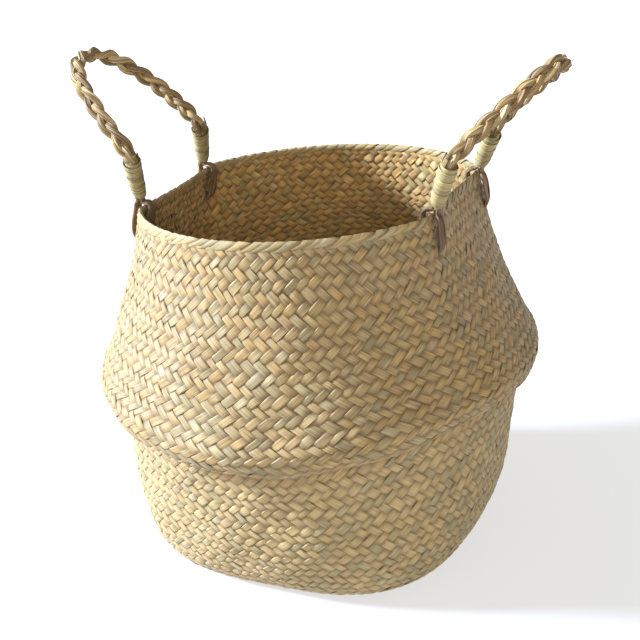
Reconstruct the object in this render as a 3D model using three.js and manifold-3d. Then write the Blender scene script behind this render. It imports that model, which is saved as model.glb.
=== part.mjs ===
import * as THREE from "three";
import { mergeVertices } from "three/addons/utils/BufferGeometryUtils.js";
import Module from "manifold-3d";

// Storage basket plaited from flat natural blades, with a belly that rolls under into a crease
// and two three-strand plaited handles. Millimetres, +Z up, the floor is z = 0, and the two
// handles stand over +X and -X. Angles are degrees.

// Wall profile, from the mouth down to the belly
const wallThickness = 3;
const rimRadius = 102.4;
const rimHeight = 222;
const shoulderRadius = 110.2;
const shoulderDrop = 36.5;
const kneeRadius = 129.5;
const kneeRise = 12;
const bellyRadius = 135;
const bellyHeight = 120;

// Wall profile, under the belly: the lip rolls in to the tuck, then the lower wall starts at the neck
const lipInset = 4.5;
const lipDrop = 12;
const tuckRadius = 123.2;
const tuckDrop = 17;
const neckRadius = 121.8;
const neckDrop = 23;
const hipRadius = 118;
const hipHeight = 72;
const waistRadius = 113.8;
const waistHeight = 36;
const heelRadius = 105;
const heelHeight = 12;
const footRadius = 94;
const footHeight = 1.8;
const baseRadius = 82;

// How the soft wall has settled out of round
const rimTilt = 3.4;
const rimTiltDirection = -52;
const mouthShiftX = 2.2;
const mouthShiftY = 2.2;
const handlePull = 1.15;
const handlePullHalfAngle = 28;
const handlePullSoftness = 0.02;
const bellyTilt = 2.1;
const bellyTiltDirection = 36;
const bellyWave = 3.9;
const bellyWaves = 3;
const bellyWaveDirection = 33;
const baseSquareness = 0.059;
const baseCorners = 4;
const baseCornerDirection = 43;

// Turned-over edge of the mouth: its top is rounded off over a share of its height, and stays
// flat over a share of its width
const borderHeight = 5;
const borderWidth = 4.8;
const borderRounding = 0.3;
const borderFlat = 0.4;

// Handles: each foot stands over the mouth's edge. The bindings run straight up from the feet,
// and the arch between them swings outwards to its crown, each handle a little differently.
// Tightening is how much closer the plait's crossings come towards the back foot.
const footAngle = 25;
const footOut = 3;
const footUp = 4.4;
const rightArch = {
  frontTip: { out: 11.4, rise: 28, lean: -8.4 },
  backTip: { out: 14.1, rise: 27.9, lean: -14.6 },
  crownOut: 60,
  crownRise: 73.7,
  crownShift: -6.9,
  crownTilt: -0.14,
  frontShoulder: 8,
  backShoulder: 24,
  frontReach: 22,
  backReach: 46,
  tightening: 0,
};
const leftArch = {
  frontTip: { out: -5, rise: 29, lean: -13.5 },
  backTip: { out: -9, rise: 28.6, lean: -16 },
  crownOut: 50.2,
  crownRise: 74.7,
  crownShift: 0,
  crownTilt: 0,
  frontShoulder: 11,
  backShoulder: 10,
  frontReach: 36.5,
  backReach: 38,
  tightening: 0.22,
};

// Plait of a handle
const plaitPeriods = 4.5;
const plaitHalfWidth = 3.2;
const plaitHalfDepth = 2.05;
const strandRadius = 1.22;
const bundleStrandRadius = 1.75;
const neckStrandRadius = 1.35;
const plaitJoinLength = 9;

// Bound foot of a handle
const strandStart = 0.4;
const bindingStart = 3.6;
const bindingLength = 27.5;
const bindingEnd = bindingStart + bindingLength;
const bindingTurns = 8;
const bindingStripWidth = 2.6;
const bindingStripThickness = 1.3;

// Blades that tie a handle's foot to the wall, two side by side, through one slit. Each leg
// passes the border at a share of its height, and bows out at a share of the slit's depth
const eyeBladeRadius = 1.5;
const eyeBladeSpacing = 3.5;
const eyeLegSpread = 3.9;
const eyeTopDrop = 2.4;
const eyeSideSwell = 0.6;
const eyeTopSwell = 0.8;
const eyeTopLift = 1;
const eyeOuterPass = 0.7;
const eyeInnerPass = 0.55;
const eyeOuterBow = 0.55;
const eyeInnerBow = 0.5;
const slitDepth = 21;
const slitAbove = 4.2;
const slitBelow = 2;
const slitCutLength = 12;

// Running clearance between pieces that touch, and the fineness of the facets
const clearance = 0.3;
const wallSides = 48;
const upperWallSteps = [2, 4, 3, 3];
const foldSteps = [3, 3];
const lowerWallSteps = [2, 2, 2, 2, 2];
const matMiddle = 0.5;
const strandSides = 5;
const bindingSides = 6;
const bindingStepsPerTurn = 12;
const strandStepsPerPeriod = 12;
const eyeSteps = 16;
const gapSteps = 900;
const nearlyWhole = 0.0001;
const mergeTolerance = 0.0001;

const rad = THREE.MathUtils.degToRad;
const clamp = THREE.MathUtils.clamp;
const smooth = THREE.MathUtils.smoothstep;
const mix = THREE.MathUtils.lerp;
const up = new THREE.Vector3(0, 0, 1);

// Profile stations as (radius, height), numbered from the mouth to the base
const profilePoint = (radius, height) => new THREE.Vector3(radius, height, 0);
const rimPoint = profilePoint(rimRadius, rimHeight);
const lipPoint = profilePoint(bellyRadius - lipInset, bellyHeight - lipDrop);
const neckPoint = profilePoint(neckRadius, bellyHeight - neckDrop);
const stations = [
  rimPoint,
  profilePoint(shoulderRadius, rimHeight - shoulderDrop),
  profilePoint(kneeRadius, bellyHeight + kneeRise),
  profilePoint(bellyRadius, bellyHeight),
  lipPoint,
  profilePoint(tuckRadius, bellyHeight - tuckDrop),
  neckPoint,
  profilePoint(hipRadius, hipHeight),
  profilePoint(waistRadius, waistHeight),
  profilePoint(heelRadius, heelHeight),
  profilePoint(footRadius, footHeight),
  profilePoint(baseRadius, 0),
];
const rimStation = stations.indexOf(rimPoint);
const lipStation = stations.indexOf(lipPoint);
const neckStation = stations.indexOf(neckPoint);
const baseStation = stations.length - 1;
const profile = new THREE.CatmullRomCurve3(stations, false, "centripetal");

// Station a given length further along the profile than a whole-numbered one
function stationPast(station, length) {
  const neighbour = length < 0 && station > 0 ? station - 1 : station + 1;
  return station + length / stations[station].distanceTo(stations[neighbour]);
}

// Moves a round point (angle, radius, height) to where the soft wall has settled: the mouth is
// flattened between the feet of each handle, shifted and tilted, the belly tilted and wavy,
// and the base slightly square
function settle(angle, radius, height) {
  const neckHeight = bellyHeight - neckDrop;
  const high = clamp((height - bellyHeight - kneeRise) / (rimHeight - bellyHeight - kneeRise), 0, 1);
  const upper = clamp((height - bellyHeight) / (rimHeight - bellyHeight), 0, 1);
  const lower = clamp(1 - height / neckHeight, 0, 1);
  const nearBelly = smooth(height, 0, neckHeight) * (1 - upper);
  const facing = Math.max(Math.abs(Math.cos(angle)), 0.01);
  const inside = 1 - Math.cos(rad(handlePullHalfAngle)) / facing;
  const chord = (inside + Math.hypot(inside, handlePullSoftness)) / 2;
  const squareness = baseSquareness * lower * Math.cos(baseCorners * (angle - rad(baseCornerDirection)));
  const reach = radius * (1 - handlePull * high * chord) * (1 + squareness);
  const tiltRise = Math.tan(rad(rimTilt)) * Math.cos(angle - rad(rimTiltDirection));
  const bellyRise = Math.tan(rad(bellyTilt)) * Math.cos(angle - rad(bellyTiltDirection));
  const wave = bellyWave * Math.cos(bellyWaves * (angle - rad(bellyWaveDirection)) + Math.PI);
  return new THREE.Vector3(
    reach * Math.cos(angle) + mouthShiftX * upper,
    reach * Math.sin(angle) + mouthShiftY * upper,
    Math.max(0, height + radius * (tiltRise * upper + bellyRise * nearBelly) + wave * nearBelly),
  );
}

// Point of the wall at an angle and a station, a given depth in from its outer face
function wallPoint(angle, station, depth) {
  const at = profile.getPoint(clamp(station / baseStation, 0, 1));
  const along = profile.getTangent(clamp(station / baseStation, nearlyWhole, 1 - nearlyWhole));
  const before = Math.min(station, 0) * stations[0].distanceTo(stations[1]);
  const radius = at.x + depth * along.y + before * along.x;
  return settle(angle, radius, Math.max(0, at.y - depth * along.x + before * along.y));
}

// Middle of the wall's thickness at an angle and a station, with the wall's outward normal and
// its direction round the mouth there
function wallFrame(angle, station) {
  const middle = wallThickness / 2;
  const small = 0.01;
  const point = wallPoint(angle, station, middle);
  const around = wallPoint(angle + small, station, middle).sub(wallPoint(angle - small, station, middle));
  const onWall = Math.max(station, 0);
  const down = wallPoint(angle, onWall + small, middle).sub(wallPoint(angle, onWall, middle));
  return { point, normal: down.cross(around).normalize(), around: around.normalize() };
}

// Closed surface through a grid of points: rings[i][j], each ring closed on itself. With
// closeRings the last ring joins the first, and otherwise both end rings are capped by a fan.
function loft(rings, closeRings) {
  const sides = rings[0].length;
  const positions = rings.flat().flatMap((point) => point.toArray());
  const index = [];
  const spans = closeRings ? rings.length : rings.length - 1;
  for (let i = 0; i < spans; i += 1) {
    const here = i * sides;
    const next = ((i + 1) % rings.length) * sides;
    for (let j = 0; j < sides; j += 1) {
      const k = (j + 1) % sides;
      index.push(here + j, next + j, next + k, here + j, next + k, here + k);
    }
  }
  if (!closeRings) {
    const last = (rings.length - 1) * sides;
    for (let j = 1; j < sides - 1; j += 1) {
      index.push(0, j, j + 1, last, last + j + 1, last + j);
    }
  }
  const geometry = new THREE.BufferGeometry();
  geometry.setAttribute("position", new THREE.Float32BufferAttribute(positions, 3));
  geometry.setIndex(index);
  return facingOut(geometry);
}

// Turns a closed surface's triangles round if its signed volume is negative
function facingOut(geometry) {
  const at = geometry.getAttribute("position");
  const index = geometry.getIndex();
  const corners = [new THREE.Vector3(), new THREE.Vector3(), new THREE.Vector3()];
  let volume = 0;
  for (let i = 0; i < index.count; i += 3) {
    corners.forEach((corner, j) => corner.fromBufferAttribute(at, index.getX(i + j)));
    volume += corners[0].dot(corners[1].clone().cross(corners[2]));
  }
  if (volume < 0) {
    geometry.setIndex(Array.from(index.array).reverse());
  }
  geometry.computeVertexNormals();
  return geometry;
}

// Angles of the wall's facets
const wallAngles = Array.from({ length: wallSides }, (_, i) => (2 * Math.PI * i) / wallSides);

// Values from start to end through every whole station between, with a number of steps in each
function stationSteps(start, end, steps) {
  const marks = [start];
  for (let whole = Math.ceil(start + nearlyWhole); whole < end - nearlyWhole; whole += 1) {
    marks.push(whole);
  }
  marks.push(end);
  const values = [];
  marks.slice(0, -1).forEach((mark, i) => {
    for (let j = 0; j < steps[i]; j += 1) {
      values.push(mix(mark, marks[i + 1], j / steps[i]));
    }
  });
  return [...values, end];
}

// Band of the wall between two stations, with both faces and both edges
function wallBand(start, end, steps) {
  const outside = stationSteps(start, end, steps);
  const section = [
    ...outside.map((station) => [station, 0]),
    ...outside.reverse().map((station) => [station, wallThickness]),
  ];
  return loft(
    section.map(([station, depth]) => wallAngles.map((angle) => wallPoint(angle, station, depth))),
    true,
  );
}

// Tube along points: each has its own two half sizes, along and across the direction that
// reference gives for it
function sweep(centres, halfSizes, reference, sides) {
  const rings = centres.map((centre, i) => {
    const before = centres[Math.max(0, i - 1)];
    const after = centres[Math.min(centres.length - 1, i + 1)];
    const along = after.clone().sub(before).normalize();
    const across = along.clone().cross(reference(i)).normalize();
    const over = across.clone().cross(along);
    const [halfOver, halfAcross] = halfSizes(i);
    return Array.from({ length: sides }, (_, j) => {
      const turn = (2 * Math.PI * (j + 0.5)) / sides;
      return centre
        .clone()
        .addScaledVector(over, halfOver * Math.cos(turn))
        .addScaledVector(across, halfAcross * Math.sin(turn));
    });
  });
  return loft(rings, false);
}

// Least distance between the surfaces of two round tubes, measured on points of their centre lines
function leastGap(first, second, radii) {
  let least = Infinity;
  first.forEach((a, i) => {
    second.forEach((b, j) => {
      least = Math.min(least, a.distanceTo(b) - radii(i) - radii(j));
    });
  });
  return least;
}

// Manifold solids, for cutting only
const wasm = await Module();
wasm.setup();

function toSolid(geometry) {
  const bare = geometry.clone();
  bare.deleteAttribute("normal");
  bare.deleteAttribute("uv");
  const merged = mergeVertices(bare, mergeTolerance);
  return new wasm.Manifold(
    new wasm.Mesh({
      numProp: 3,
      vertProperties: new Float32Array(merged.getAttribute("position").array),
      triVerts: new Uint32Array(merged.getIndex().array),
    }),
  );
}

function fromSolid(solid) {
  const mesh = solid.getMesh();
  const geometry = new THREE.BufferGeometry();
  geometry.setAttribute("position", new THREE.Float32BufferAttribute(mesh.vertProperties, 3));
  geometry.setIndex(new THREE.Uint32BufferAttribute(mesh.triVerts, 1));
  geometry.computeVertexNormals();
  return geometry;
}

// Colours of the blades
const straw = new THREE.MeshStandardMaterial({ color: 0xc9ad77, roughness: 0.72, metalness: 0 });
const paleStraw = new THREE.MeshStandardMaterial({ color: 0xd8c48e, roughness: 0.68, metalness: 0 });
const tanBlade = new THREE.MeshStandardMaterial({ color: 0xa98554, roughness: 0.7, metalness: 0 });
const brownBlade = new THREE.MeshStandardMaterial({ color: 0x7d5c36, roughness: 0.74, metalness: 0 });
const greenStrip = new THREE.MeshStandardMaterial({ color: 0xd6cd92, roughness: 0.62, metalness: 0 });

const basket = new THREE.Group();

function addPiece(name, geometry, material, parent = basket) {
  const mesh = new THREE.Mesh(geometry, material);
  mesh.name = name;
  parent.add(mesh);
  return mesh;
}

// Frame of a foot, from the mouth's own edge: side is 1 for the right handle and -1 for the
// left, end is -1 for the front foot and 1 for the back one
function footFrame(side, end) {
  const angle = (side > 0 ? 0 : Math.PI) + side * end * rad(footAngle);
  const outward = new THREE.Vector3(side, 0, 0);
  const edge = wallPoint(angle, rimStation, wallThickness / 2);
  const pivot = edge.addScaledVector(outward, footOut).addScaledVector(up, footUp);
  return { angle, outward, pivot };
}

// Centre line of a handle: a straight line up each binding, joined smoothly by two curves that
// meet at the crown
function handlePath(side) {
  const arch = side > 0 ? rightArch : leftArch;
  const front = footFrame(side, -1).pivot;
  const back = footFrame(side, 1).pivot;
  const spanDirection = back.clone().sub(front).normalize();
  const place = (from, alongSpan, out, rise) =>
    from.clone().addScaledVector(spanDirection, alongSpan).add(new THREE.Vector3(side * out, 0, rise));
  const middle = front.clone().lerp(back, 0.5);
  const crown = place(middle, arch.crownShift, arch.crownOut, arch.crownRise);
  const overCrown = spanDirection.clone().addScaledVector(up, arch.crownTilt).normalize();
  const tips = [
    [front, arch.frontTip],
    [back, arch.backTip],
  ].map(([foot, tip]) => {
    const towards = place(foot, tip.lean, tip.out, tip.rise).sub(foot).normalize();
    return { towards, at: foot.clone().addScaledVector(towards, bindingEnd) };
  });
  const line = new THREE.CurvePath();
  line.add(new THREE.LineCurve3(front, tips[0].at));
  line.add(
    new THREE.CubicBezierCurve3(
      tips[0].at,
      tips[0].at.clone().addScaledVector(tips[0].towards, arch.frontShoulder),
      crown.clone().addScaledVector(overCrown, -arch.frontReach),
      crown,
    ),
  );
  line.add(
    new THREE.CubicBezierCurve3(
      crown,
      crown.clone().addScaledVector(overCrown, arch.backReach),
      tips[1].at.clone().addScaledVector(tips[1].towards, arch.backShoulder),
      tips[1].at,
    ),
  );
  line.add(new THREE.LineCurve3(tips[1].at, back));
  const plane = spanDirection.clone().cross(crown.clone().sub(middle)).normalize();
  const { tightening } = arch;
  return { line, plane, length: line.getLength(), front, back, spanDirection, tightening };
}

// Radius of a strand at a distance from the nearer foot, and of the round bundle that three make
function strandRadiusAt(distance) {
  const bound = mix(neckStrandRadius, bundleStrandRadius, smooth(distance, 0, bindingEnd));
  return mix(bound, strandRadius, smooth(distance, bindingEnd, bindingEnd + plaitJoinLength));
}

function bundleSpread(distance) {
  return (2 * strandRadiusAt(distance) + clearance) / Math.sqrt(3);
}

// Section frame of a handle at a distance along it
function handleFrame(path, distance) {
  const share = clamp(distance / path.length, 0, 1);
  const centre = path.line.getPoint(share);
  const along = path.line.getTangent(share);
  const across = along.clone().cross(path.plane).normalize();
  const over = across.clone().cross(along).normalize();
  return { centre, along, across, over };
}

// Centre of one strand: the plait bends along its flat face, so a strand swings from edge to
// edge, square to the arch's plane, as a sine, and passes over and under at twice that rate.
// Towards each binding the three draw together into a round bundle.
function strandCentre(path, number, distance) {
  const fromFoot = Math.min(distance, path.length - distance);
  const plaitStart = bindingEnd + plaitJoinLength / 2;
  const plaitLength = path.length - 2 * plaitStart;
  const share = clamp((distance - plaitStart) / plaitLength, 0, 1);
  const tightened = share - path.tightening * share * (1 - share);
  const phase = Math.PI / 2 + 2 * Math.PI * (tightened * plaitPeriods + number / 3);
  const plaited = smooth(fromFoot, bindingEnd, bindingEnd + plaitJoinLength);
  const spread = bundleSpread(fromFoot);
  const sway = mix(spread, plaitHalfWidth, plaited) * Math.sin(phase);
  const lift = mix(spread, plaitHalfDepth, plaited) * Math.sin(2 * phase);
  const { centre, across, over } = handleFrame(path, distance);
  return centre.clone().addScaledVector(over, -sway).addScaledVector(across, lift);
}

// Distances along a handle at which its strands have a ring of points
function strandDistances(path) {
  const footSteps = 5;
  const plaitSteps = Math.round(plaitPeriods * strandStepsPerPeriod);
  const distances = [];
  for (let i = 0; i < footSteps; i += 1) {
    distances.push(mix(strandStart, bindingEnd, i / footSteps));
  }
  for (let i = 0; i <= plaitSteps; i += 1) {
    distances.push(mix(bindingEnd, path.length - bindingEnd, i / plaitSteps));
  }
  for (let i = 1; i <= footSteps; i += 1) {
    distances.push(path.length - mix(bindingEnd, strandStart, i / footSteps));
  }
  return distances;
}

function addStrands(path, sideName, parent) {
  const distances = strandDistances(path);
  const fromFoot = (i) => Math.min(distances[i], path.length - distances[i]);
  const centreLines = [0, 1, 2].map((number) =>
    distances.map((distance) => strandCentre(path, number, distance)),
  );
  centreLines.forEach((centres, number) => {
    const reference = (i) => handleFrame(path, distances[i]).over;
    const size = (i) => [strandRadiusAt(fromFoot(i)), strandRadiusAt(fromFoot(i))];
    const material = number === 1 ? brownBlade : tanBlade;
    const geometry = sweep(centres, size, reference, strandSides);
    addPiece(`${sideName}_handle_strand_${number + 1}`, geometry, material, parent);
  });
  const fineDistance = (i) => (path.length * i) / gapSteps;
  const fine = [0, 1].map((number) =>
    Array.from({ length: gapSteps + 1 }, (_, i) => strandCentre(path, number, fineDistance(i))),
  );
  const fineRadius = (i) => strandRadiusAt(fineDistance(Math.min(i, gapSteps - i)));
  const gap = leastGap(fine[0], fine[1], fineRadius).toFixed(2);
  console.log(`${sideName} handle: length ${path.length.toFixed(1)}, least gap between strands ${gap}`);
}

// Strip wound round a foot's bundle as one unbroken helix
function addBinding(path, sideName, footName, atFront, parent) {
  const steps = bindingTurns * bindingStepsPerTurn;
  const halfWidth = bindingStripWidth / 2;
  const halfThickness = bindingStripThickness / 2;
  const centres = [];
  const outwards = [];
  for (let i = 0; i <= steps; i += 1) {
    const fromFoot = bindingStart + halfWidth + ((bindingLength - bindingStripWidth) * i) / steps;
    const { centre, across, over } = handleFrame(path, atFront ? fromFoot : path.length - fromFoot);
    const turn = (2 * Math.PI * i) / bindingStepsPerTurn;
    const corner = 1 / Math.cos(Math.PI / bindingStepsPerTurn);
    const bundleRadius = bundleSpread(fromFoot) + strandRadiusAt(fromFoot);
    const reach = (bundleRadius + clearance) * corner + halfThickness;
    const outward = across.clone().multiplyScalar(Math.cos(turn)).addScaledVector(over, Math.sin(turn));
    outwards.push(outward);
    centres.push(centre.clone().addScaledVector(outward, reach));
  }
  const geometry = sweep(centres, () => [halfThickness, halfWidth], (i) => outwards[i], bindingSides);
  addPiece(`${sideName}_${footName}_binding`, geometry, greenStrip, parent);
  const apart = centres
    .slice(bindingStepsPerTurn)
    .map((centre, i) => centre.distanceTo(centres[i]) - bindingStripWidth);
  console.log(`${sideName} ${footName} binding: least gap between turns ${Math.min(...apart).toFixed(2)}`);
}

// Route of one eye blade: from under the foot down outside the wall, through the slit and up
// inside it, over the border and back under the foot
function eyeRoute(path, side, end, shift) {
  const { angle, pivot, outward } = footFrame(side, end);
  const foot = handleFrame(path, end < 0 ? 0 : path.length);
  const down = foot.along.clone().multiplyScalar(end < 0 ? -1 : 1);
  const legOut = outward.clone().addScaledVector(down, -outward.dot(down)).normalize();
  const sideways = (shift * eyeBladeSpacing) / 2;
  const atWall = (depth, spread) => {
    const { point, normal, around } = wallFrame(angle, stationPast(rimStation, depth));
    return point.addScaledVector(normal, spread).addScaledVector(around, side * sideways);
  };
  const atFoot = (drop, spread) =>
    pivot
      .clone()
      .addScaledVector(path.spanDirection, sideways)
      .addScaledVector(down, drop)
      .addScaledVector(legOut, spread);
  const halfApart = eyeBladeRadius + clearance;
  const overBorder = borderWidth / 2 + eyeBladeRadius + clearance;
  return new THREE.CatmullRomCurve3(
    [
      atFoot(eyeTopDrop, halfApart),
      atFoot(eyeTopDrop + eyeLegSpread / 2, halfApart + eyeTopSwell),
      atWall(borderHeight * eyeOuterPass, overBorder + eyeTopSwell),
      atWall(slitDepth * eyeOuterBow, eyeLegSpread + eyeSideSwell),
      atWall(slitDepth - eyeLegSpread, eyeLegSpread),
      atWall(slitDepth - eyeTopSwell, eyeLegSpread / 2),
      atWall(slitDepth, 0),
      atWall(slitDepth - eyeTopSwell, -eyeLegSpread / 2),
      atWall(slitDepth - eyeLegSpread, -eyeLegSpread),
      atWall(slitDepth * eyeInnerBow, -eyeLegSpread - eyeSideSwell),
      atWall(borderHeight * eyeInnerPass, -overBorder - eyeSideSwell),
      atWall(-eyeTopLift, -overBorder),
      atWall(-eyeBladeRadius - clearance - eyeTopLift, -overBorder / 2),
      atFoot(eyeTopDrop, -halfApart),
    ],
    false,
    "centripetal",
  );
}

function addEyes(path, side, end, sideName, footName) {
  [-1, 1].forEach((shift, i) => {
    const route = eyeRoute(path, side, end, shift);
    const centres = Array.from({ length: eyeSteps + 1 }, (_, j) => route.getPointAt(j / eyeSteps));
    const radii = () => [eyeBladeRadius, eyeBladeRadius];
    const geometry = sweep(centres, radii, () => path.spanDirection, strandSides);
    addPiece(`${sideName}_${footName}_eye_${i + 1}`, geometry, brownBlade);
  });
}

// Slit in the wall under a foot, as a cutter that runs through both faces
function slitCutter(side, end) {
  const { angle } = footFrame(side, end);
  const depth = slitDepth + (slitBelow - slitAbove) / 2;
  const { point, normal, around } = wallFrame(angle, stationPast(rimStation, depth));
  const width = eyeBladeSpacing + 2 * slitBelow;
  const box = new THREE.BoxGeometry(width, slitAbove + slitBelow, slitCutLength);
  const tall = normal.clone().cross(around);
  box.applyMatrix4(new THREE.Matrix4().makeBasis(around, tall, normal).setPosition(point));
  return toSolid(box);
}

// Walls
const borderStart = stationPast(rimStation, borderHeight + clearance);
const upperEnd = stationPast(lipStation, -clearance / 2);
const foldStart = stationPast(lipStation, clearance / 2);
const foldEnd = stationPast(neckStation, -clearance / 2);
const lowerStart = stationPast(neckStation, clearance / 2);
let upperWall = toSolid(wallBand(borderStart, upperEnd, upperWallSteps));
addPiece("belly_fold", wallBand(foldStart, foldEnd, foldSteps), straw);
addPiece("lower_wall", wallBand(lowerStart, baseStation, lowerWallSteps), straw);

// Border: a rounded edge folded over the top of the wall
const borderSection = [
  [borderHeight, -borderWidth / 2],
  [borderHeight * borderRounding, -borderWidth / 2],
  [0, (-borderWidth * borderFlat) / 2],
  [0, (borderWidth * borderFlat) / 2],
  [borderHeight * borderRounding, borderWidth / 2],
  [borderHeight, borderWidth / 2],
];
const borderRings = borderSection.map(([drop, offset]) =>
  wallAngles.map((angle) => wallPoint(angle, stationPast(rimStation, drop), wallThickness / 2 + offset)),
);
addPiece("rim_border", loft(borderRings, true), paleStraw);

// Base mat: a flat disc inside the wall's turned-in edge
const edgeLean = (wallThickness * footHeight) / (footRadius - baseRadius);
const matRadius = baseRadius - clearance - edgeLean;
const matRings = [1, matMiddle].map((share) =>
  wallAngles.map((angle) => settle(angle, matRadius * share, 0)),
);
const matTop = matRings.map((ring) => ring.map((point) => point.clone().setZ(wallThickness)));
addPiece("base_mat", loft([...matRings.slice().reverse(), ...matTop], false), straw);

// Handles
[1, -1].forEach((side) => {
  const sideName = side > 0 ? "right" : "left";
  const path = handlePath(side);
  const handle = new THREE.Group();
  basket.add(handle);
  addStrands(path, sideName, handle);
  [-1, 1].forEach((end) => {
    const footName = end < 0 ? "front" : "back";
    addBinding(path, sideName, footName, end < 0, handle);
    addEyes(path, side, end, sideName, footName);
    upperWall = upperWall.subtract(slitCutter(side, end));
  });
  const axis = path.spanDirection.clone().multiplyScalar(side);
  handle.userData.hinge = { through: path.front.toArray(), axis: axis.toArray() };
});
addPiece("upper_wall", fromSolid(upperWall), straw);

export default basket;
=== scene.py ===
"""Looks of a plaited storage basket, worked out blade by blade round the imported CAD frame.

Shapes are worked out in millimetres in the frame's own axes and put into the meshes in metres.
The upper wall, the fold and the lower wall share one plait, so every blade runs through all three.
"""

from __future__ import annotations

import logging
import math
from dataclasses import dataclass, field
from enum import Enum

import bpy
import numpy as np
from mathutils import Matrix

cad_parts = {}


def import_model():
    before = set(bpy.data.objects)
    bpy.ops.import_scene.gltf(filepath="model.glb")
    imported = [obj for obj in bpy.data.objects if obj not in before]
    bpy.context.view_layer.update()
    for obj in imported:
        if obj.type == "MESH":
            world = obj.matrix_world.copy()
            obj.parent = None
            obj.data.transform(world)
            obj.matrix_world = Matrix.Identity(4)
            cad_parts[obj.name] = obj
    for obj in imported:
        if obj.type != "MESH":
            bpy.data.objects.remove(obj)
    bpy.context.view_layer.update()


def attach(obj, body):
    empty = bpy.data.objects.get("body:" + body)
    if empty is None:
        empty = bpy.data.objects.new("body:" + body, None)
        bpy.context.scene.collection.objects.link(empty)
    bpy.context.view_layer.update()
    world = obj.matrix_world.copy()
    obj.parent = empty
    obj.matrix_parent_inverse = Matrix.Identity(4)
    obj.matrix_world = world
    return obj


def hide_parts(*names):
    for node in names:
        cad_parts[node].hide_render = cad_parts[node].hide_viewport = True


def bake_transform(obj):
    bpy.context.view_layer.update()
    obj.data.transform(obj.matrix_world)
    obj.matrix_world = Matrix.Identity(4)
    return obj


# Shorter names for types: two numbers, three numbers, and a piece's points with its attributes
Pair = tuple[float, float]
Triple = tuple[float, float, float]
Ribbons = tuple[np.ndarray, dict[str, np.ndarray | float]]

LOG = logging.getLogger("basket")
MM = 0.001
FULL_TURN = 2 * math.pi
CRISP_ANGLE = math.radians(32)
TINY_LENGTH = 1e-9
SHORTEST_SPAN = 1e-4
UP = np.array([0.0, 0.0, 1.0])
WHITE = (1.0, 1.0, 1.0)

# Random phases lie between 0 and this many radians
PHASE_SPAN = 6.0

# Section of a flat blade as eight points: share of its half width across, and of its half thickness up
BLADE_ACROSS = np.array([-1.0, -0.78, 0.0, 0.78, 1.0, 0.78, 0.0, -0.78])
BLADE_RISE = np.array([-0.35, 0.6, 1.0, 0.6, -0.35, -0.9, -1.0, -0.9])


class Lean(Enum):
    """Way that a blade of the plait leans, seen from outside."""

    SLASH = 1
    BACKSLASH = -1

    @property
    def number(self) -> int:
        """Number of this lean in the tables that hold both."""
        return 0 if self is Lean.SLASH else 1


class Side(Enum):
    """Handle that stands over +X or over -X."""

    RIGHT = 1
    LEFT = -1


class End(Enum):
    """Foot of a handle nearer -Y or nearer +Y."""

    FRONT = -1
    BACK = 1


def smooth(value: np.ndarray | float, low: float, high: float) -> np.ndarray:
    """Smoothstep: 0 below low, 1 above high, and 3x^2 - 2x^3 of the share x between them."""
    share = np.clip((np.asarray(value) - low) / (high - low), 0, 1)
    return share * share * (3 - 2 * share)


def window(value: np.ndarray, rise: Pair, fall: Pair) -> np.ndarray:
    """Smooth window: climbs from 0 to 1 over the rise and drops back to 0 over the fall."""
    return smooth(value, *rise) * (1 - smooth(value, *fall))


def mix(first: np.ndarray | float, second: np.ndarray | float, share: np.ndarray | float) -> np.ndarray:
    """Straight mix: first at share 0, second at share 1."""
    return first + (np.asarray(second) - first) * share


def sway(pattern: Pair, along: np.ndarray, phase: np.ndarray | float) -> np.ndarray:
    """Slow wave along a blade: the pattern's size times the sine of its rate times along, plus a phase."""
    size, rate = pattern
    return size * np.sin(rate * along + phase)


def unit(vectors: np.ndarray) -> np.ndarray:
    """Each vector over its own length."""
    return vectors / np.maximum(np.linalg.norm(vectors, axis=-1, keepdims=True), TINY_LENGTH)


def spoke(first: np.ndarray, second: np.ndarray, turn: np.ndarray) -> np.ndarray:
    """Direction turned from first towards second: first times the cosine plus second times the sine."""
    return first * np.cos(turn)[..., None] + second * np.sin(turn)[..., None]


def near_edge(start: float) -> np.ndarray:
    """For each point of a blade's section, 0 up to a share of the half width and 1 at the edges."""
    return smooth(np.abs(BLADE_ACROSS), start, 1)


def foot_draws(seed: int, end: End, side: Side, steps: tuple[int, int] = (3, 7)) -> np.random.Generator:
    """Random draws of one foot: its end and its side each move the seed by a step."""
    return np.random.default_rng(seed + steps[0] * end.value + steps[1] * side.value)


def bezier(points: tuple[np.ndarray, ...], share: np.ndarray) -> np.ndarray:
    """Cubic curve of four control points a, b, c and d.

    With s the share and r the rest, 1 - s, it is r^3 a + 3 r^2 s b + 3 r s^2 c + s^3 d.

    Args:
        points: the four control points.
        share: places on the curve from 0 to 1, shape (count, 1).

    Returns:
        Points, shape (count, 3).
    """
    a, b, c, d = points
    rest = 1 - share
    return rest**3 * a + 3 * rest**2 * share * b + 3 * rest * share**2 * c + share**3 * d


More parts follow.
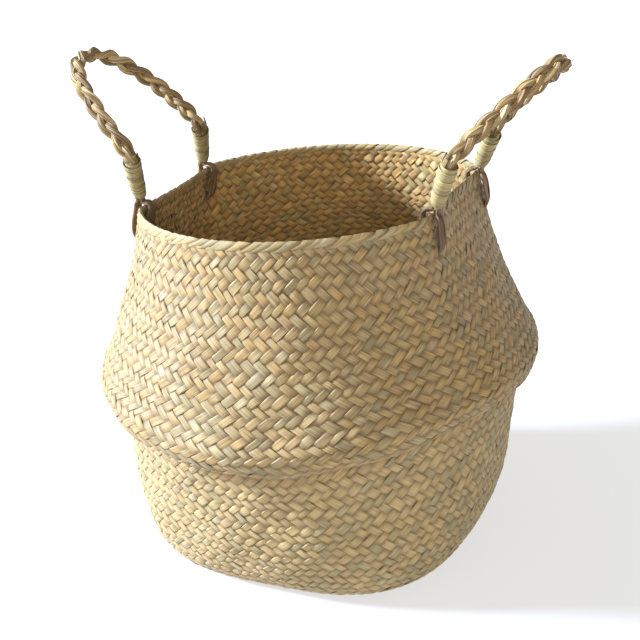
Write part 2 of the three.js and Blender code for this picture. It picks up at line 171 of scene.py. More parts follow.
def knotted_curve(knots: np.ndarray, at: np.ndarray) -> np.ndarray:
    """Centripetal Catmull-Rom curve through knots.

    Each span is the cubic with the knots at its ends and with end slopes made from the
    neighbours' differences, weighted by the square roots of the spans' lengths.

    Args:
        knots: points of the curve, shape (count, dimensions).
        at: places on it, where whole numbers are the knots.

    Returns:
        Points, shape (len(at), dimensions).
    """
    padded = np.vstack([2 * knots[0] - knots[1], knots, 2 * knots[-1] - knots[-2]])
    span = np.clip(np.floor(at).astype(int), 0, len(knots) - 2)
    share = (at - span)[:, None]
    p0, p1, p2, p3 = (padded[span + k] for k in range(4))
    d0, d1, d2 = (
        np.maximum(np.sqrt(np.linalg.norm(b - a, axis=1)), SHORTEST_SPAN)[:, None]
        for a, b in ((p0, p1), (p1, p2), (p2, p3))
    )
    slope1 = ((p1 - p0) / d0 - (p2 - p0) / (d0 + d1) + (p2 - p1) / d1) * d1
    slope2 = ((p2 - p1) / d1 - (p3 - p1) / (d1 + d2) + (p3 - p2) / d2) * d1
    square = (3 * (p2 - p1) - 2 * slope1 - slope2) * share**2
    cube = (2 * (p1 - p2) + slope1 + slope2) * share**3
    return p1 + slope1 * share + square + cube


def even_points(points: np.ndarray, count: int) -> np.ndarray:
    """Moves a polyline's points so that their distances along it are even.

    Args:
        points: the polyline, shape (any number, 3).
        count: how many points to give back.

    Returns:
        Points, shape (count, 3).
    """
    lengths = np.concatenate([[0], np.cumsum(np.linalg.norm(np.diff(points, axis=0), axis=1))])
    wanted = np.linspace(0, lengths[-1], count)
    return np.stack([np.interp(wanted, lengths, points[:, k]) for k in range(3)], -1)


def ribbon_points(
    centres: np.ndarray, normals: np.ndarray, half_width: np.ndarray, half_thick: np.ndarray | float
) -> np.ndarray:
    """Points of flat ribbons carried along centre lines.

    Each ring is the blade section, with its width across the line and its thickness along the
    part of the normal that is square to the line.

    Args:
        centres: centre lines, shape (ribbons, rings, 3).
        normals: roughly the flat face's direction, same shape.
        half_width: half sizes, shape (ribbons, rings).
        half_thick: one half size, or one for each ring.

    Returns:
        Points, shape (ribbons, rings, 8, 3).
    """
    along = unit(np.gradient(centres, axis=1))
    across = unit(np.cross(along, normals))
    over = np.cross(across, along)
    wide = half_width[..., None, None] * BLADE_ACROSS[:, None]
    thick = np.asarray(half_thick)[..., None, None] * BLADE_RISE[:, None]
    return centres[:, :, None] + across[:, :, None] * wide + over[:, :, None] * thick


def run_field(centres: np.ndarray, half_width: np.ndarray, numbers: np.ndarray) -> np.ndarray:
    """Blade coordinates that the fibres follow: distance along, distance across, and a number.

    Args:
        centres: centre lines, shape (ribbons, rings, 3).
        half_width: half widths, shape (ribbons, rings).
        numbers: a number that tells the fibres of one blade from another's, shape (ribbons).

    Returns:
        Coordinates in millimetres, shape (ribbons, rings, 8, 3).
    """
    steps = np.linalg.norm(np.diff(centres, axis=1), axis=-1)
    along = np.concatenate([np.zeros((len(centres), 1)), np.cumsum(steps, 1)], 1)
    across = half_width[..., None] * BLADE_ACROSS
    return np.stack(np.broadcast_arrays(along[..., None], across, numbers[:, None, None]), -1)


def make_mesh(
    name: str, vertices: np.ndarray, faces: list[np.ndarray], fields: dict[str, np.ndarray]
) -> bpy.types.Object:
    """Puts whole arrays into a new object.

    Args:
        name: name of the object and its mesh.
        vertices: places in millimetres, shape (count, 3).
        faces: arrays of vertex numbers, one row for each face; quads are shaded smooth.
        fields: point attributes by name, one number or three for each vertex.

    Returns:
        The object, linked to the scene.
    """
    mesh = bpy.data.meshes.new(name)
    corners = np.concatenate([rows.ravel() for rows in faces]).astype(np.int32)
    sizes = np.concatenate([np.full(len(rows), rows.shape[1]) for rows in faces])
    starts = np.concatenate([[0], np.cumsum(sizes)[:-1]]).astype(np.int32)
    mesh.vertices.add(len(vertices))
    mesh.vertices.foreach_set("co", (vertices * MM).astype(np.float32).ravel())
    mesh.loops.add(len(corners))
    mesh.polygons.add(len(sizes))
    mesh.polygons.foreach_set("loop_start", starts)
    mesh.polygons.foreach_set("vertices", corners)
    mesh.polygons.foreach_set("use_smooth", sizes == 4)
    for key, values in fields.items():
        kind, slot = ("FLOAT_VECTOR", "vector") if values.shape[-1:] == (3,) else ("FLOAT", "value")
        layer = mesh.attributes.new(key, kind, "POINT")
        layer.data.foreach_set(slot, values.astype(np.float32).ravel())
    mesh.update()
    mesh.validate()
    mesh.set_sharp_from_angle(angle=CRISP_ANGLE)
    made = bpy.data.objects.new(name, mesh)
    bpy.context.scene.collection.objects.link(made)
    LOG.info("%s: %d faces", name, len(sizes))
    return made


def make_ribbons(name: str, points: np.ndarray, fields: dict[str, np.ndarray | float]) -> bpy.types.Object:
    """Closed ribbons: each ring joins the next by quads, and each end is capped by one face.

    A ring that turns the right-handed way about the ribbon's own direction gets its faces the
    other way round, so that they point outwards.

    Args:
        name: name of the object.
        points: places in millimetres, shape (ribbons, rings, sides, 3).
        fields: attributes, each of which spreads to one number or three for every point.

    Returns:
        The object.
    """
    shape = points.shape[:3]
    number = np.arange(math.prod(shape)).reshape(shape)
    here, ahead = number[:, :-1], number[:, 1:]
    quads = np.stack([here, np.roll(here, -1, 2), np.roll(ahead, -1, 2), ahead], -1).reshape(-1, 4)
    first, last = number[:, 0, ::-1], number[:, -1]
    half_way = shape[1] // 2
    middle = points[0, half_way]
    spokes = middle - middle.mean(0)
    area = np.cross(spokes, np.roll(spokes, -1, 0)).sum(0)
    forward = points[0, half_way + 1].mean(0) - middle.mean(0)
    if area @ forward < 0:
        quads, first, last = quads[:, ::-1], first[:, ::-1], last[:, ::-1]
    flat = {}
    for key, values in fields.items():
        tail = np.shape(values)[3:]
        flat[key] = np.broadcast_to(values, shape + tail).reshape(-1, *tail)
    return make_mesh(name, points.reshape(-1, 3), [quads, first, last], flat)


@dataclass
class WallForm:
    """The soft wall: a profile from the rim to the base, turned round and settled out of round.

    Stations are radius and height, lengths along the profile are millimetres down from the rim,
    angles go round from +X, and directions and tilts are in degrees. A wave of dents is its
    size, how often it goes round the wall, its rate down the wall and its phase.
    """

    stations: tuple[Pair, ...] = (
        (102.4, 222.0),
        (110.2, 185.5),
        (129.5, 132.0),
        (135.0, 120.0),
        (130.5, 108.0),
        (123.2, 103.0),
        (121.8, 97.0),
        (118.0, 72.0),
        (113.8, 36.0),
        (105.0, 12.0),
        (94.0, 1.8),
        (82.0, 0.0),
    )
    table_size: int = 4001
    thickness: float = 3.0
    rim_height: float = 222.0
    knee_height: float = 132.0
    belly_height: float = 120.0
    neck_height: float = 97.0
    lip_station: int = 4
    neck_station: int = 6
    rim_tilt: float = 3.4
    rim_tilt_direction: float = -52.0
    mouth_shift: float = 2.2
    handle_pull: float = 1.15
    handle_pull_half_angle: float = 28.0
    handle_pull_softness: float = 0.02
    least_cosine: float = 0.01
    belly_tilt: float = 2.1
    belly_tilt_direction: float = 36.0
    belly_waves: int = 3
    belly_wave: float = 3.9
    belly_wave_direction: float = 33.0
    base_corners: int = 4
    base_squareness: float = 0.059
    base_corner_direction: float = 43.0
    floor_gap: float = 0.2
    dent: float = 0.45
    dent_waves: tuple[tuple[float, int, float, float], ...] = (
        (1.0, 5, 0.041, 1.1),
        (1.0, 9, -0.066, 4.0),
        (0.8, 14, 0.093, 2.3),
    )
    dent_rise: Pair = (15.0, 60.0)
    dent_fall: Pair = (205.0, 228.0)
    round_step: float = 0.01
    down_step: float = 0.4

    def __post_init__(self) -> None:
        """Tables of the profile against its length: place, and direction down along it."""
        knots = np.array(self.stations)
        at = np.linspace(0, len(knots) - 1, self.table_size)
        self.table = knotted_curve(knots, at)
        steps = np.linalg.norm(np.diff(self.table, axis=0), axis=1)
        self.lengths = np.concatenate([[0], np.cumsum(steps)])
        self.slopes = unit(np.gradient(self.table, self.lengths, axis=0))
        marks = np.interp(np.arange(len(knots)), at, self.lengths)
        self.lip_length = float(marks[self.lip_station])
        self.neck_length = float(marks[self.neck_station])
        self.end_length = float(marks[-1])

    def settle(self, angle: np.ndarray, radius: np.ndarray, height: np.ndarray) -> np.ndarray:
        """Moves a round point to where the soft wall has settled.

        The mouth is flattened to a soft chord between the feet of each handle, shifted and
        tilted; the belly is tilted and has three waves round it; the base is slightly square.

        Args:
            angle: radians round from +X.
            radius: millimetres from the axis.
            height: millimetres over the floor.

        Returns:
            Points, with a last axis of three.
        """
        belly, rad = self.belly_height, math.radians
        high = np.clip((height - self.knee_height) / (self.rim_height - self.knee_height), 0, 1)
        upper = np.clip((height - belly) / (self.rim_height - belly), 0, 1)
        lower = np.clip(1 - height / self.neck_height, 0, 1)
        near = smooth(height, 0, self.neck_height) * (1 - upper)
        cosine = np.maximum(np.abs(np.cos(angle)), self.least_cosine)
        inside = 1 - math.cos(rad(self.handle_pull_half_angle)) / cosine
        chord = (inside + np.hypot(inside, self.handle_pull_softness)) / 2
        corners = np.cos(self.base_corners * (angle - rad(self.base_corner_direction)))
        square = self.base_squareness * lower * corners
        reach = radius * (1 - self.handle_pull * high * chord) * (1 + square)
        tilt = math.tan(rad(self.rim_tilt)) * np.cos(angle - rad(self.rim_tilt_direction))
        lean = math.tan(rad(self.belly_tilt)) * np.cos(angle - rad(self.belly_tilt_direction))
        crest = self.belly_waves * (angle - rad(self.belly_wave_direction))
        wave = self.belly_wave * np.cos(crest + math.pi)
        z = np.maximum(self.floor_gap, height + radius * (tilt * upper + lean * near) + wave * near)
        shift = self.mouth_shift * upper
        x, y = reach * np.cos(angle) + shift, reach * np.sin(angle) + shift
        return np.stack(np.broadcast_arrays(x, y, z), -1)

    def dents(self, angle: np.ndarray, length: np.ndarray) -> np.ndarray:
        """Small hollows and swellings of the hand-made wall, none near the rim or the base.

        They are the sum of the crossed waves, each its size times the sine of its number times
        the angle plus its rate times the length plus its phase.

        Args:
            angle: radians round from +X.
            length: millimetres down the profile.

        Returns:
            Millimetres inwards.
        """
        waves = sum(
            size * np.sin(number * angle + rate * length + phase)
            for size, number, rate, phase in self.dent_waves
        )
        return self.dent * waves * window(length, self.dent_rise, self.dent_fall)

    def point(self, angle: np.ndarray, length: np.ndarray, rise: np.ndarray | float) -> np.ndarray:
        """Point of the wall.

        Args:
            angle: radians round from +X.
            length: millimetres down the profile; above the rim the profile goes on straight.
            rise: millimetres outwards from the middle of the wall's thickness.

        Returns:
            Points, with a last axis of three.
        """
        down = np.clip(length, 0, self.end_length)
        radius, height = (np.interp(down, self.lengths, self.table[:, k]) for k in range(2))
        out, drop = (np.interp(down, self.lengths, self.slopes[:, k]) for k in range(2))
        depth = self.thickness / 2 - rise - self.dents(angle, down)
        past = length - down
        return self.settle(angle, radius + depth * drop + past * out, height - depth * out + past * drop)

    def frame(self, angle: np.ndarray, length: np.ndarray) -> tuple[np.ndarray, np.ndarray, np.ndarray]:
        """Middle of the wall with its outward normal and its direction round the mouth.

        Args:
            angle: radians round from +X.
            length: millimetres down the profile.

        Returns:
            Points, normals and directions, each with a last axis of three.
        """
        ahead = self.point(angle + self.round_step, length, 0.0)
        around = ahead - self.point(angle - self.round_step, length, 0.0)
        on_wall = np.maximum(length, 0)
        down = self.point(angle, on_wall + self.down_step, 0.0) - self.point(angle, on_wall, 0.0)
        return self.point(angle, length, 0.0), unit(np.cross(down, around)), unit(around)


@dataclass
class BladeWeave:
    """The plait of flat blades, over two and under two, that the whole wall is made of.

    The number t counts the crossings down a blade. Round the wall, x counts blades, and a blade
    leaning like a slash keeps x + t / 2 while one leaning the other way keeps x - t / 2. Rows
    of floats lie four crossings apart, at the lengths that row_lengths gives. Widths and shifts
    are in blade widths, heights in millimetres, and a sway is a size and a rate for each crossing.
    """

    form: WallForm
    slits: list[Pair]
    count: int = 104
    half_thick: float = 0.58
    relief: float = 0.74
    sharpness: float = 1.7
    edge_shade: float = 0.5
    edge_shade_start: float = 0.78
    dive_power: float = 0.8
    ring_step: float = 0.375
    first_row: float = -1.5
    row_step: int = 4
    row_lengths: tuple[float, ...] = (
        -0.5, 10.5, 21.5, 34.0, 45.5, 56.5, 67.5, 78.2, 88.5, 98.5, 109.0, 121.2, 133.4,
        145.6, 158.1, 171.1, 182.6, 194.6, 206.1, 217.6, 229.4, 241.4, 253.4,
    )  # fmt: skip
    top_length: float = 2.0
    unevenness: float = 0.32
    lap: float = 1.05
    dive_lap: float = 0.22
    lap_sway: Pair = (0.04, 0.55)
    path_sway: Pair = (0.06, 0.31)
    slit_half_width: float = 0.65
    slit_reach: float = 1.7
    folded_share: float = 0.2
    folded_rise: float = 0.5
    floats: int = 40
    tilt_spread: float = 0.13
    tilt_arm: float = 1.6
    lift_spread: float = 0.08
    tones_per_blade: int = 12
    tone_crossings: int = 24
    tone_starts: int = 14
    blade_pitch: float = 4.4
    crossing_pitch: float = 5.3
    fibre_spread: float = 97.0
    fibre_step: float = 3.7
    # Section points that face into the basket, which get painted light in the finish
    inner_face: Pair = (0.3, 0.8)
    seed: int = 11

    def __post_init__(self) -> None:
        """Draws what differs from blade to blade, once for all pieces of the wall."""
        draw = np.random.default_rng(self.seed)
        self.rows = self.first_row + self.row_step * np.arange(len(self.row_lengths))
        shape = (len(Lean), self.count)
        self.shifts = draw.uniform(-self.unevenness, self.unevenness, shape)
        # Phases of the lap's wave, the path's wave, the tones and the fibres; the fifth is spare
        self.phases = draw.uniform(0, FULL_TURN, (5, *shape))
        self.folded = draw.random(shape) < self.folded_share
        self.tones = draw.random((*shape, self.tones_per_blade))
        self.tilts = draw.normal(0, self.tilt_spread, (*shape, self.floats))
        self.lifts = draw.normal(0, self.lift_spread, (*shape, self.floats))

    def crossing(self, length: float) -> float:
        """Crossing number t at a length down the profile."""
        return float(np.interp(length, self.row_lengths, self.rows))

    def place(self, lean_number: int, index: np.ndarray) -> np.ndarray:
        """Where a blade of one lean lies, in even blade widths round the wall."""
        return index + self.shifts[lean_number][index % self.count]

    def number_at(self, lean_number: int, place: np.ndarray) -> np.ndarray:
        """Blade number, with its share of the next, at a place: the inverse of place."""
        numbers = np.arange(-self.count, 2 * self.count)
        return np.interp(place, self.place(lean_number, numbers), numbers)

    def pushed(self, lean: Lean, place: np.ndarray, t: np.ndarray) -> np.ndarray:
        """Sideways shift of a blade, in blade widths, that opens the plait round the slits.

        A blade whose line passes a slit at distance d is moved out to the square root of
        d squared plus the slit's half width squared, less and less along the blade as a bell.

        Args:
            lean: which way the blades lean.
            place: where they lie, shape (blades, 1).
            t: crossing numbers, shape (1, rings).

        Returns:
            Shifts, shape (blades, rings).
        """
        shift = np.zeros(np.broadcast_shapes(place.shape, t.shape))
        for angle, length in self.slits:
            slit_x, slit_t = angle * self.count / FULL_TURN, self.crossing(length)
            apart = place - slit_x - lean.value * slit_t / 2
            apart = (apart + self.count / 2) % self.count - self.count / 2
            bell = np.exp(-(((t - slit_t) / self.slit_reach) ** 2))
            away = np.where(apart < 0, -1.0, 1.0)
            shift += away * (np.hypot(apart, self.slit_half_width) - np.abs(apart)) * bell
        return shift

    def widths(self, lean: Lean, t: np.ndarray, dive: np.ndarray) -> tuple[np.ndarray, np.ndarray]:
        """How wide the blades are, in blade widths.

        Each edge of a blade lies half way to its neighbour, and laps it a little, most where
        the blade dives. One slow wave changes the lap and another moves the whole blade.

        Args:
            lean: which way the blades lean.
            t: crossing numbers, shape (1, rings).
            dive: how far each blade dives, shape (blades, rings).

        Returns:
            Half width to each side without the lap, shape (blades, 1, 8), and the section's
            places across, shape (blades, rings, 8).
        """
        index = np.arange(self.count)[:, None]
        place = self.place(lean.number, index)
        lap_phase, path_phase = self.phases[:2, lean.number, :, None]
        lap = self.lap + self.dive_lap * dive + sway(self.lap_sway, t, lap_phase)
        before = place - self.place(lean.number, index - 1)
        after = self.place(lean.number, index + 1) - place
        half = np.where(BLADE_ACROSS < 0, before[..., None], after[..., None]) / 2
        shift = sway(self.path_sway, t, path_phase) + self.pushed(lean, place, t)
        return half, half * lap[..., None] * BLADE_ACROSS + shift[..., None]

    def heights(self, lean: Lean, v: np.ndarray, weave: np.ndarray) -> np.ndarray:
        """Height of each point of the blades' sections over the middle of the wall.

        It is the weave times the relief, plus the section's own rise. Each float has a small
        lift and tilt of its own, which fade where the blade dives, and a folded blade is
        hollow along its middle.

        Args:
            lean: which way the blades lean.
            v: crossings counted along each blade, shape (blades, rings).
            weave: 1 where a slash blade lies on top and -1 where it lies below, same shape.

        Returns:
            Heights in millimetres, shape (blades, rings, 8).
        """
        index = np.arange(self.count)[:, None]
        number = np.floor((v + 1) / 2).astype(int) % self.floats
        tilt = (self.tilts[lean.number][index, number] * np.abs(weave))[..., None]
        lift = (self.lifts[lean.number][index, number] * np.abs(weave))[..., None]
        hollow = self.folded[lean.number][:, None, None] & (BLADE_ACROSS == 0)
        rise = np.where(hollow, self.folded_rise, 1.0) * BLADE_RISE
        height = lean.value * self.relief * weave[..., None] + lift
        return height + tilt * BLADE_ACROSS * self.tilt_arm + self.half_thick * rise

    def tones_at(self, lean: Lean, v: np.ndarray) -> np.ndarray:
        """Tone along each blade, which changes where a new blade was laid in.

        Args:
            lean: which way the blades lean.
            v: crossings counted along each blade, shape (blades, rings).

        Returns:
            Tones from 0 to 1, shape (blades, rings, 1).
        """
        phase = self.phases[2, lean.number, :, None]
        late = self.row_step * np.floor(self.tone_starts * phase / FULL_TURN)
        laid = np.floor((v + 1 + late) / self.tone_crossings).astype(int)
        laid = np.clip(laid, 0, self.tones_per_blade - 1)
        return np.take_along_axis(self.tones[lean.number], laid, 1)[..., None]

    def grid(self, lean: Lean, start: float, end: float) -> Ribbons:
        """Blades of one lean between two lengths of the profile.

        The weave is tanh(sharpness * cos(pi v / 2)), where v is the difference between the
        numbers of the two blades that cross there, counted from the first row of floats, so
        that a blade lies flat over two crossings and dives under two.

        Args:
            lean: which way the blades lean.
            start: length down the profile at which they begin.
            end: length at which they end.

        Returns:
            Points, shape (blades, rings, 8, 3), and the attributes.
        """
        low, high = self.crossing(start), self.crossing(end)
        rings = int(math.ceil((high - low) / self.ring_step)) + 1
        t = np.linspace(low, high, rings)[None, :]
        index = np.arange(self.count)[:, None]
        place = self.place(lean.number, index)
        crossed = self.number_at(1 - lean.number, place - lean.value * t)
        v = lean.value * (index - crossed) - self.rows[0]
        weave = np.tanh(self.sharpness * np.cos(math.pi * v / 2)) / math.tanh(self.sharpness)
        dive = (1 - np.abs(weave)) ** self.dive_power

        half, across = self.widths(lean, t, dive)
        x = place[..., None] + (across - lean.value * t[..., None]) / 2
        length = np.interp(t[..., None] + lean.value * across, self.rows, self.row_lengths)
        points = self.form.point(FULL_TURN * x / self.count, length, self.heights(lean, v, weave))

        along = self.crossing_pitch * t + self.fibre_spread * self.phases[3, lean.number, :, None]
        number = self.fibre_step * (index + self.count * lean.number)
        sideways = self.blade_pitch * half * BLADE_ACROSS
        run = np.stack(np.broadcast_arrays(along[..., None], sideways, number[..., None]), -1)
        # Painted shade: darker where a blade dives under the crossing one and along its long edges
        tuck = np.minimum(dive[..., None] + self.edge_shade * near_edge(self.edge_shade_start), 1)
        # Mask of the faces that look into the basket, for the finish's painted light
        inner = smooth(-BLADE_RISE, *self.inner_face)
        return points, {"run": run, "tone": self.tones_at(lean, v), "tuck": tuck, "inner": inner}


@dataclass
class RimBorder:
    """Turned-over edge: slanted wraps go over the mouth, on a thin cord that fills the fold.

    The stations are the places along a wrap where its route is given, and the rises are its
    distances out of the wall's middle there. A wrap starts outside and ends inside. The jitters
    say how much wraps differ in their start, place, bulge, width and sweep.
    """

    form: WallForm
    count: int = 94
    outside_depth: float = 4.8
    inside_depth: float = 4.4
    shoulder_depth: float = 2.2
    bend_depth: float = 0.3
    edge_rise: float = 0.45
    stations: tuple[float, ...] = (0.0, 3.0, 4.6, 5.2, 5.8, 7.5, 10.0)
    rises: tuple[float, ...] = (0.95, 1.3, 0.95, 0.0, -0.95, -1.3, -0.95)
    curve_points: int = 200
    sweep: float = 2.6
    half_width: float = 4.3
    half_thick: float = 0.24
    lap: float = 0.32
    reach: float = 105.0
    jitters: tuple[float, ...] = (0.5, 0.12, 0.05, 0.12, 0.1)
    start_fade: Pair = (0.1, 0.4)
    start_taper: Pair = (-0.12, 0.1)
    end_taper: Pair = (0.85, 1.0)
    end_narrowing: float = 0.35
    # Painted shade: share of a wrap's length at its outside start that is darkened where it goes under the
    # blades; leading and trailing shade darken its seams
    start_tuck: float = 0.12
    leading_shade: float = 0.6
    leading_shade_start: float = 0.3
    trailing_shade: float = 0.5
    trailing_shade_start: float = 0.8
    fibre_step: float = 5.1
    rings: int = 17
    cord_radius: float = 0.95
    cord_depth: float = 2.4
    cord_half_height: float = 1.9
    cord_rings: int = 193
    cord_sides: int = 8
    cord_tone: float = 0.3
    # Even painted shade on the cord, which lies under the wraps
    cord_tuck: float = 0.15
    seed: int = 5

    def route(self, share: np.ndarray) -> tuple[np.ndarray, np.ndarray]:
        """Route of a wrap in the wall's own section.

        A smooth curve through the stations climbs the outside from outside_depth, passes over
        the edge by edge_rise and goes down the inside to inside_depth.

        Args:
            share: places along the wrap from 0 to 1.

        Returns:
            Depth under the rim and distance out of the wall's middle, in millimetres.
        """
        up, down = (self.shoulder_depth, self.bend_depth), (self.bend_depth, self.shoulder_depth)
        depths = (self.outside_depth, *up, -self.edge_rise, *down, self.inside_depth)
        knots = np.stack([self.stations, depths, self.rises], -1)
        at = np.linspace(0, len(knots) - 1, self.curve_points)
        curve = even_points(knotted_curve(knots, at), self.curve_points)
        wanted = share * self.stations[-1]
        return np.interp(wanted, curve[:, 0], curve[:, 1]), np.interp(wanted, curve[:, 0], curve[:, 2])

    def wraps(self) -> Ribbons:
        """The wraps, each of which moves round the mouth by the sweep as it goes over the edge.

        Width is measured round the mouth, so that a wrap bends with the edge. Thickness is
        measured square to the route in the wall's section, and the lap lifts one edge of each
        wrap over the next.

        Returns:
            Points and attributes.
        """
        draw = np.random.default_rng(self.seed)
        share = np.linspace(0, 1, self.rings)[None, :]
        index = np.arange(self.count)[:, None]
        jitter = draw.normal(0, 1, (len(self.jitters), self.count, 1))
        starts, places, bulges, wider, longer = jitter * np.array(self.jitters)[:, None, None]
        depth, rise = self.route(share)
        depth = depth + starts * (1 - smooth(share, *self.start_fade))
        rise = rise * (1 + bulges)
        angle = FULL_TURN * (index + places + self.sweep * (1 + longer) * share) / self.count
        narrowing = 1 - self.end_narrowing * smooth(share, *self.end_taper)
        wide = self.half_width * smooth(share, *self.start_taper) * narrowing * (1 + wider)

        ahead = unit(np.stack([np.gradient(depth, axis=1), np.gradient(rise, axis=1)], -1))
        out = self.half_thick * BLADE_RISE - self.lap * BLADE_ACROSS
        deeper, higher = ahead[..., 1:] * out, -ahead[..., :1] * out
        turned = angle[..., None] + wide[..., None] * BLADE_ACROSS / self.reach
        points = self.form.point(turned, depth[..., None] + deeper, rise[..., None] + higher)

        tone = draw.random(self.count)[:, None, None]
        # Painted shade along the seams between wraps and at each wrap's outside start
        seam_shade = self.leading_shade * smooth(BLADE_ACROSS, self.leading_shade_start, 1)
        seam_shade = seam_shade + self.trailing_shade * smooth(-BLADE_ACROSS, self.trailing_shade_start, 1)
        tuck = np.maximum((1 - smooth(share, 0, self.start_tuck))[..., None], seam_shade)
        run = run_field(self.form.point(angle, depth, rise), wide, self.fibre_step * index[:, 0])
        return points, {"run": run, "tone": tone, "tuck": tuck}

    def cord(self) -> Ribbons:
        """The cord inside the fold: a ring round the mouth with an oval section, under the wraps.

        Returns:
            Points and attributes.
        """
        angle = np.linspace(0, FULL_TURN, self.cord_rings)[None, :, None]
        turn = np.arange(self.cord_sides) * FULL_TURN / self.cord_sides
        depth = self.cord_depth + self.cord_half_height * np.sin(turn)
        rise = self.cord_radius * np.cos(turn)
        run = np.stack(np.broadcast_arrays(self.reach * angle, rise, 0.0), -1)
        points = self.form.point(angle, depth, rise)
        return points, {"run": run, "tone": self.cord_tone, "tuck": self.cord_tuck}


@dataclass
class BaseMat:
    """The bottom: ribbons along X and along Y, plaited over two and under two.

    They are cut to the base's outline. The fill is the half width as a share of the pitch, and
    the sway is a size in millimetres and a rate for each millimetre.
    """

    form: WallForm
    radius: float = 85.5
    pitch: float = 4.6
    fill: float = 0.49
    width_spread: Pair = (0.88, 1.03)
    half_thick: float = 0.55
    relief: float = 0.62
    sharpness: float = 1.8
    middle_height: float = 1.52
    sway: Pair = (0.12, 0.11)
    outline_points: int = 721
    rings: int = 72
    fibre_step: float = 2.9
    seed: int = 7

    def cuts(self, place: np.ndarray, along_x: bool) -> list[np.ndarray]:
        """Where the ribbons' lines meet the rounded square of the base.

        Args:
            place: where each ribbon lies, in millimetres from the middle.
            along_x: whether the ribbons run along X.

        Returns:
            The two ends of each ribbon along its own axis.
        """
        angles = np.linspace(0, FULL_TURN, self.outline_points)
        outline = self.form.settle(angles, self.radius + 0 * angles, 0 * angles)
        lane, axis = (outline[:, 1], outline[:, 0]) if along_x else (outline[:, 0], outline[:, 1])
        ends = []
        for sign in (-1, 1):
            far = axis * sign > 0
            order = np.argsort(lane[far])
            ends.append(np.interp(place, lane[far][order], axis[far][order]))
        return ends

    def ribbons(self, along_x: bool) -> Ribbons:
        """Ribbons of one direction.

        The height is relief times tanh(sharpness * cos(pi v / 2)), where v counts the ribbons
        crossed plus the ribbon's own number, which shifts each by one to give the twill.

        Args:
            along_x: whether the ribbons run along X.

        Returns:
            Points and attributes.
        """
        draw = np.random.default_rng(self.seed + int(along_x))
        half = int(self.radius / self.pitch)
        index = np.arange(-half, half + 1)[:, None]
        place = index * self.pitch
        start, end = self.cuts(place, along_x)
        distance = mix(start, end, np.linspace(0, 1, self.rings)[None, :])
        lanes = place + sway(self.sway, distance, draw.uniform(0, PHASE_SPAN, place.shape))
        v = distance / self.pitch + (index if along_x else -index)
        weave = np.tanh(self.sharpness * np.cos(math.pi * v / 2)) / math.tanh(self.sharpness)
        z = self.middle_height + (1 if along_x else -1) * self.relief * weave
        centres = np.stack([distance, lanes, z] if along_x else [lanes, distance, z], -1)
        wide = self.pitch * self.fill * draw.uniform(*self.width_spread, place.shape) + 0 * v
        points = ribbon_points(centres, np.broadcast_to(UP, centres.shape), wide, self.half_thick)
        tone = draw.random(len(index))[:, None, None]
        run = run_field(centres, wide, self.fibre_step * index[:, 0])
        # Painted shade where the ribbons dive under each other
        return points, {"run": run, "tone": tone, "tuck": (1 - np.abs(weave))[..., None]}


@dataclass(frozen=True)
class Arch:
    """How one handle stands: offsets in millimetres from its feet and from the middle between them.

    A tip is the way that a binding points from its foot: outwards, up and along the span.
    """

    front_tip: Triple
    back_tip: Triple
    crown_out: float
    crown_rise: float
    crown_shift: float
    crown_tilt: float
    front_shoulder: float
    back_shoulder: float
    front_reach: float
    back_reach: float
    tightening: float


ARCHES = {
    Side.RIGHT: Arch((11.4, 28, -8.4), (14.1, 27.9, -14.6), 60, 73.7, -6.9, -0.14, 8, 24, 22, 46, 0),
    Side.LEFT: Arch((-5, 29, -13.5), (-9, 28.6, -16), 50.2, 74.7, 0, 0, 11, 10, 36.5, 38, 0.22),
}


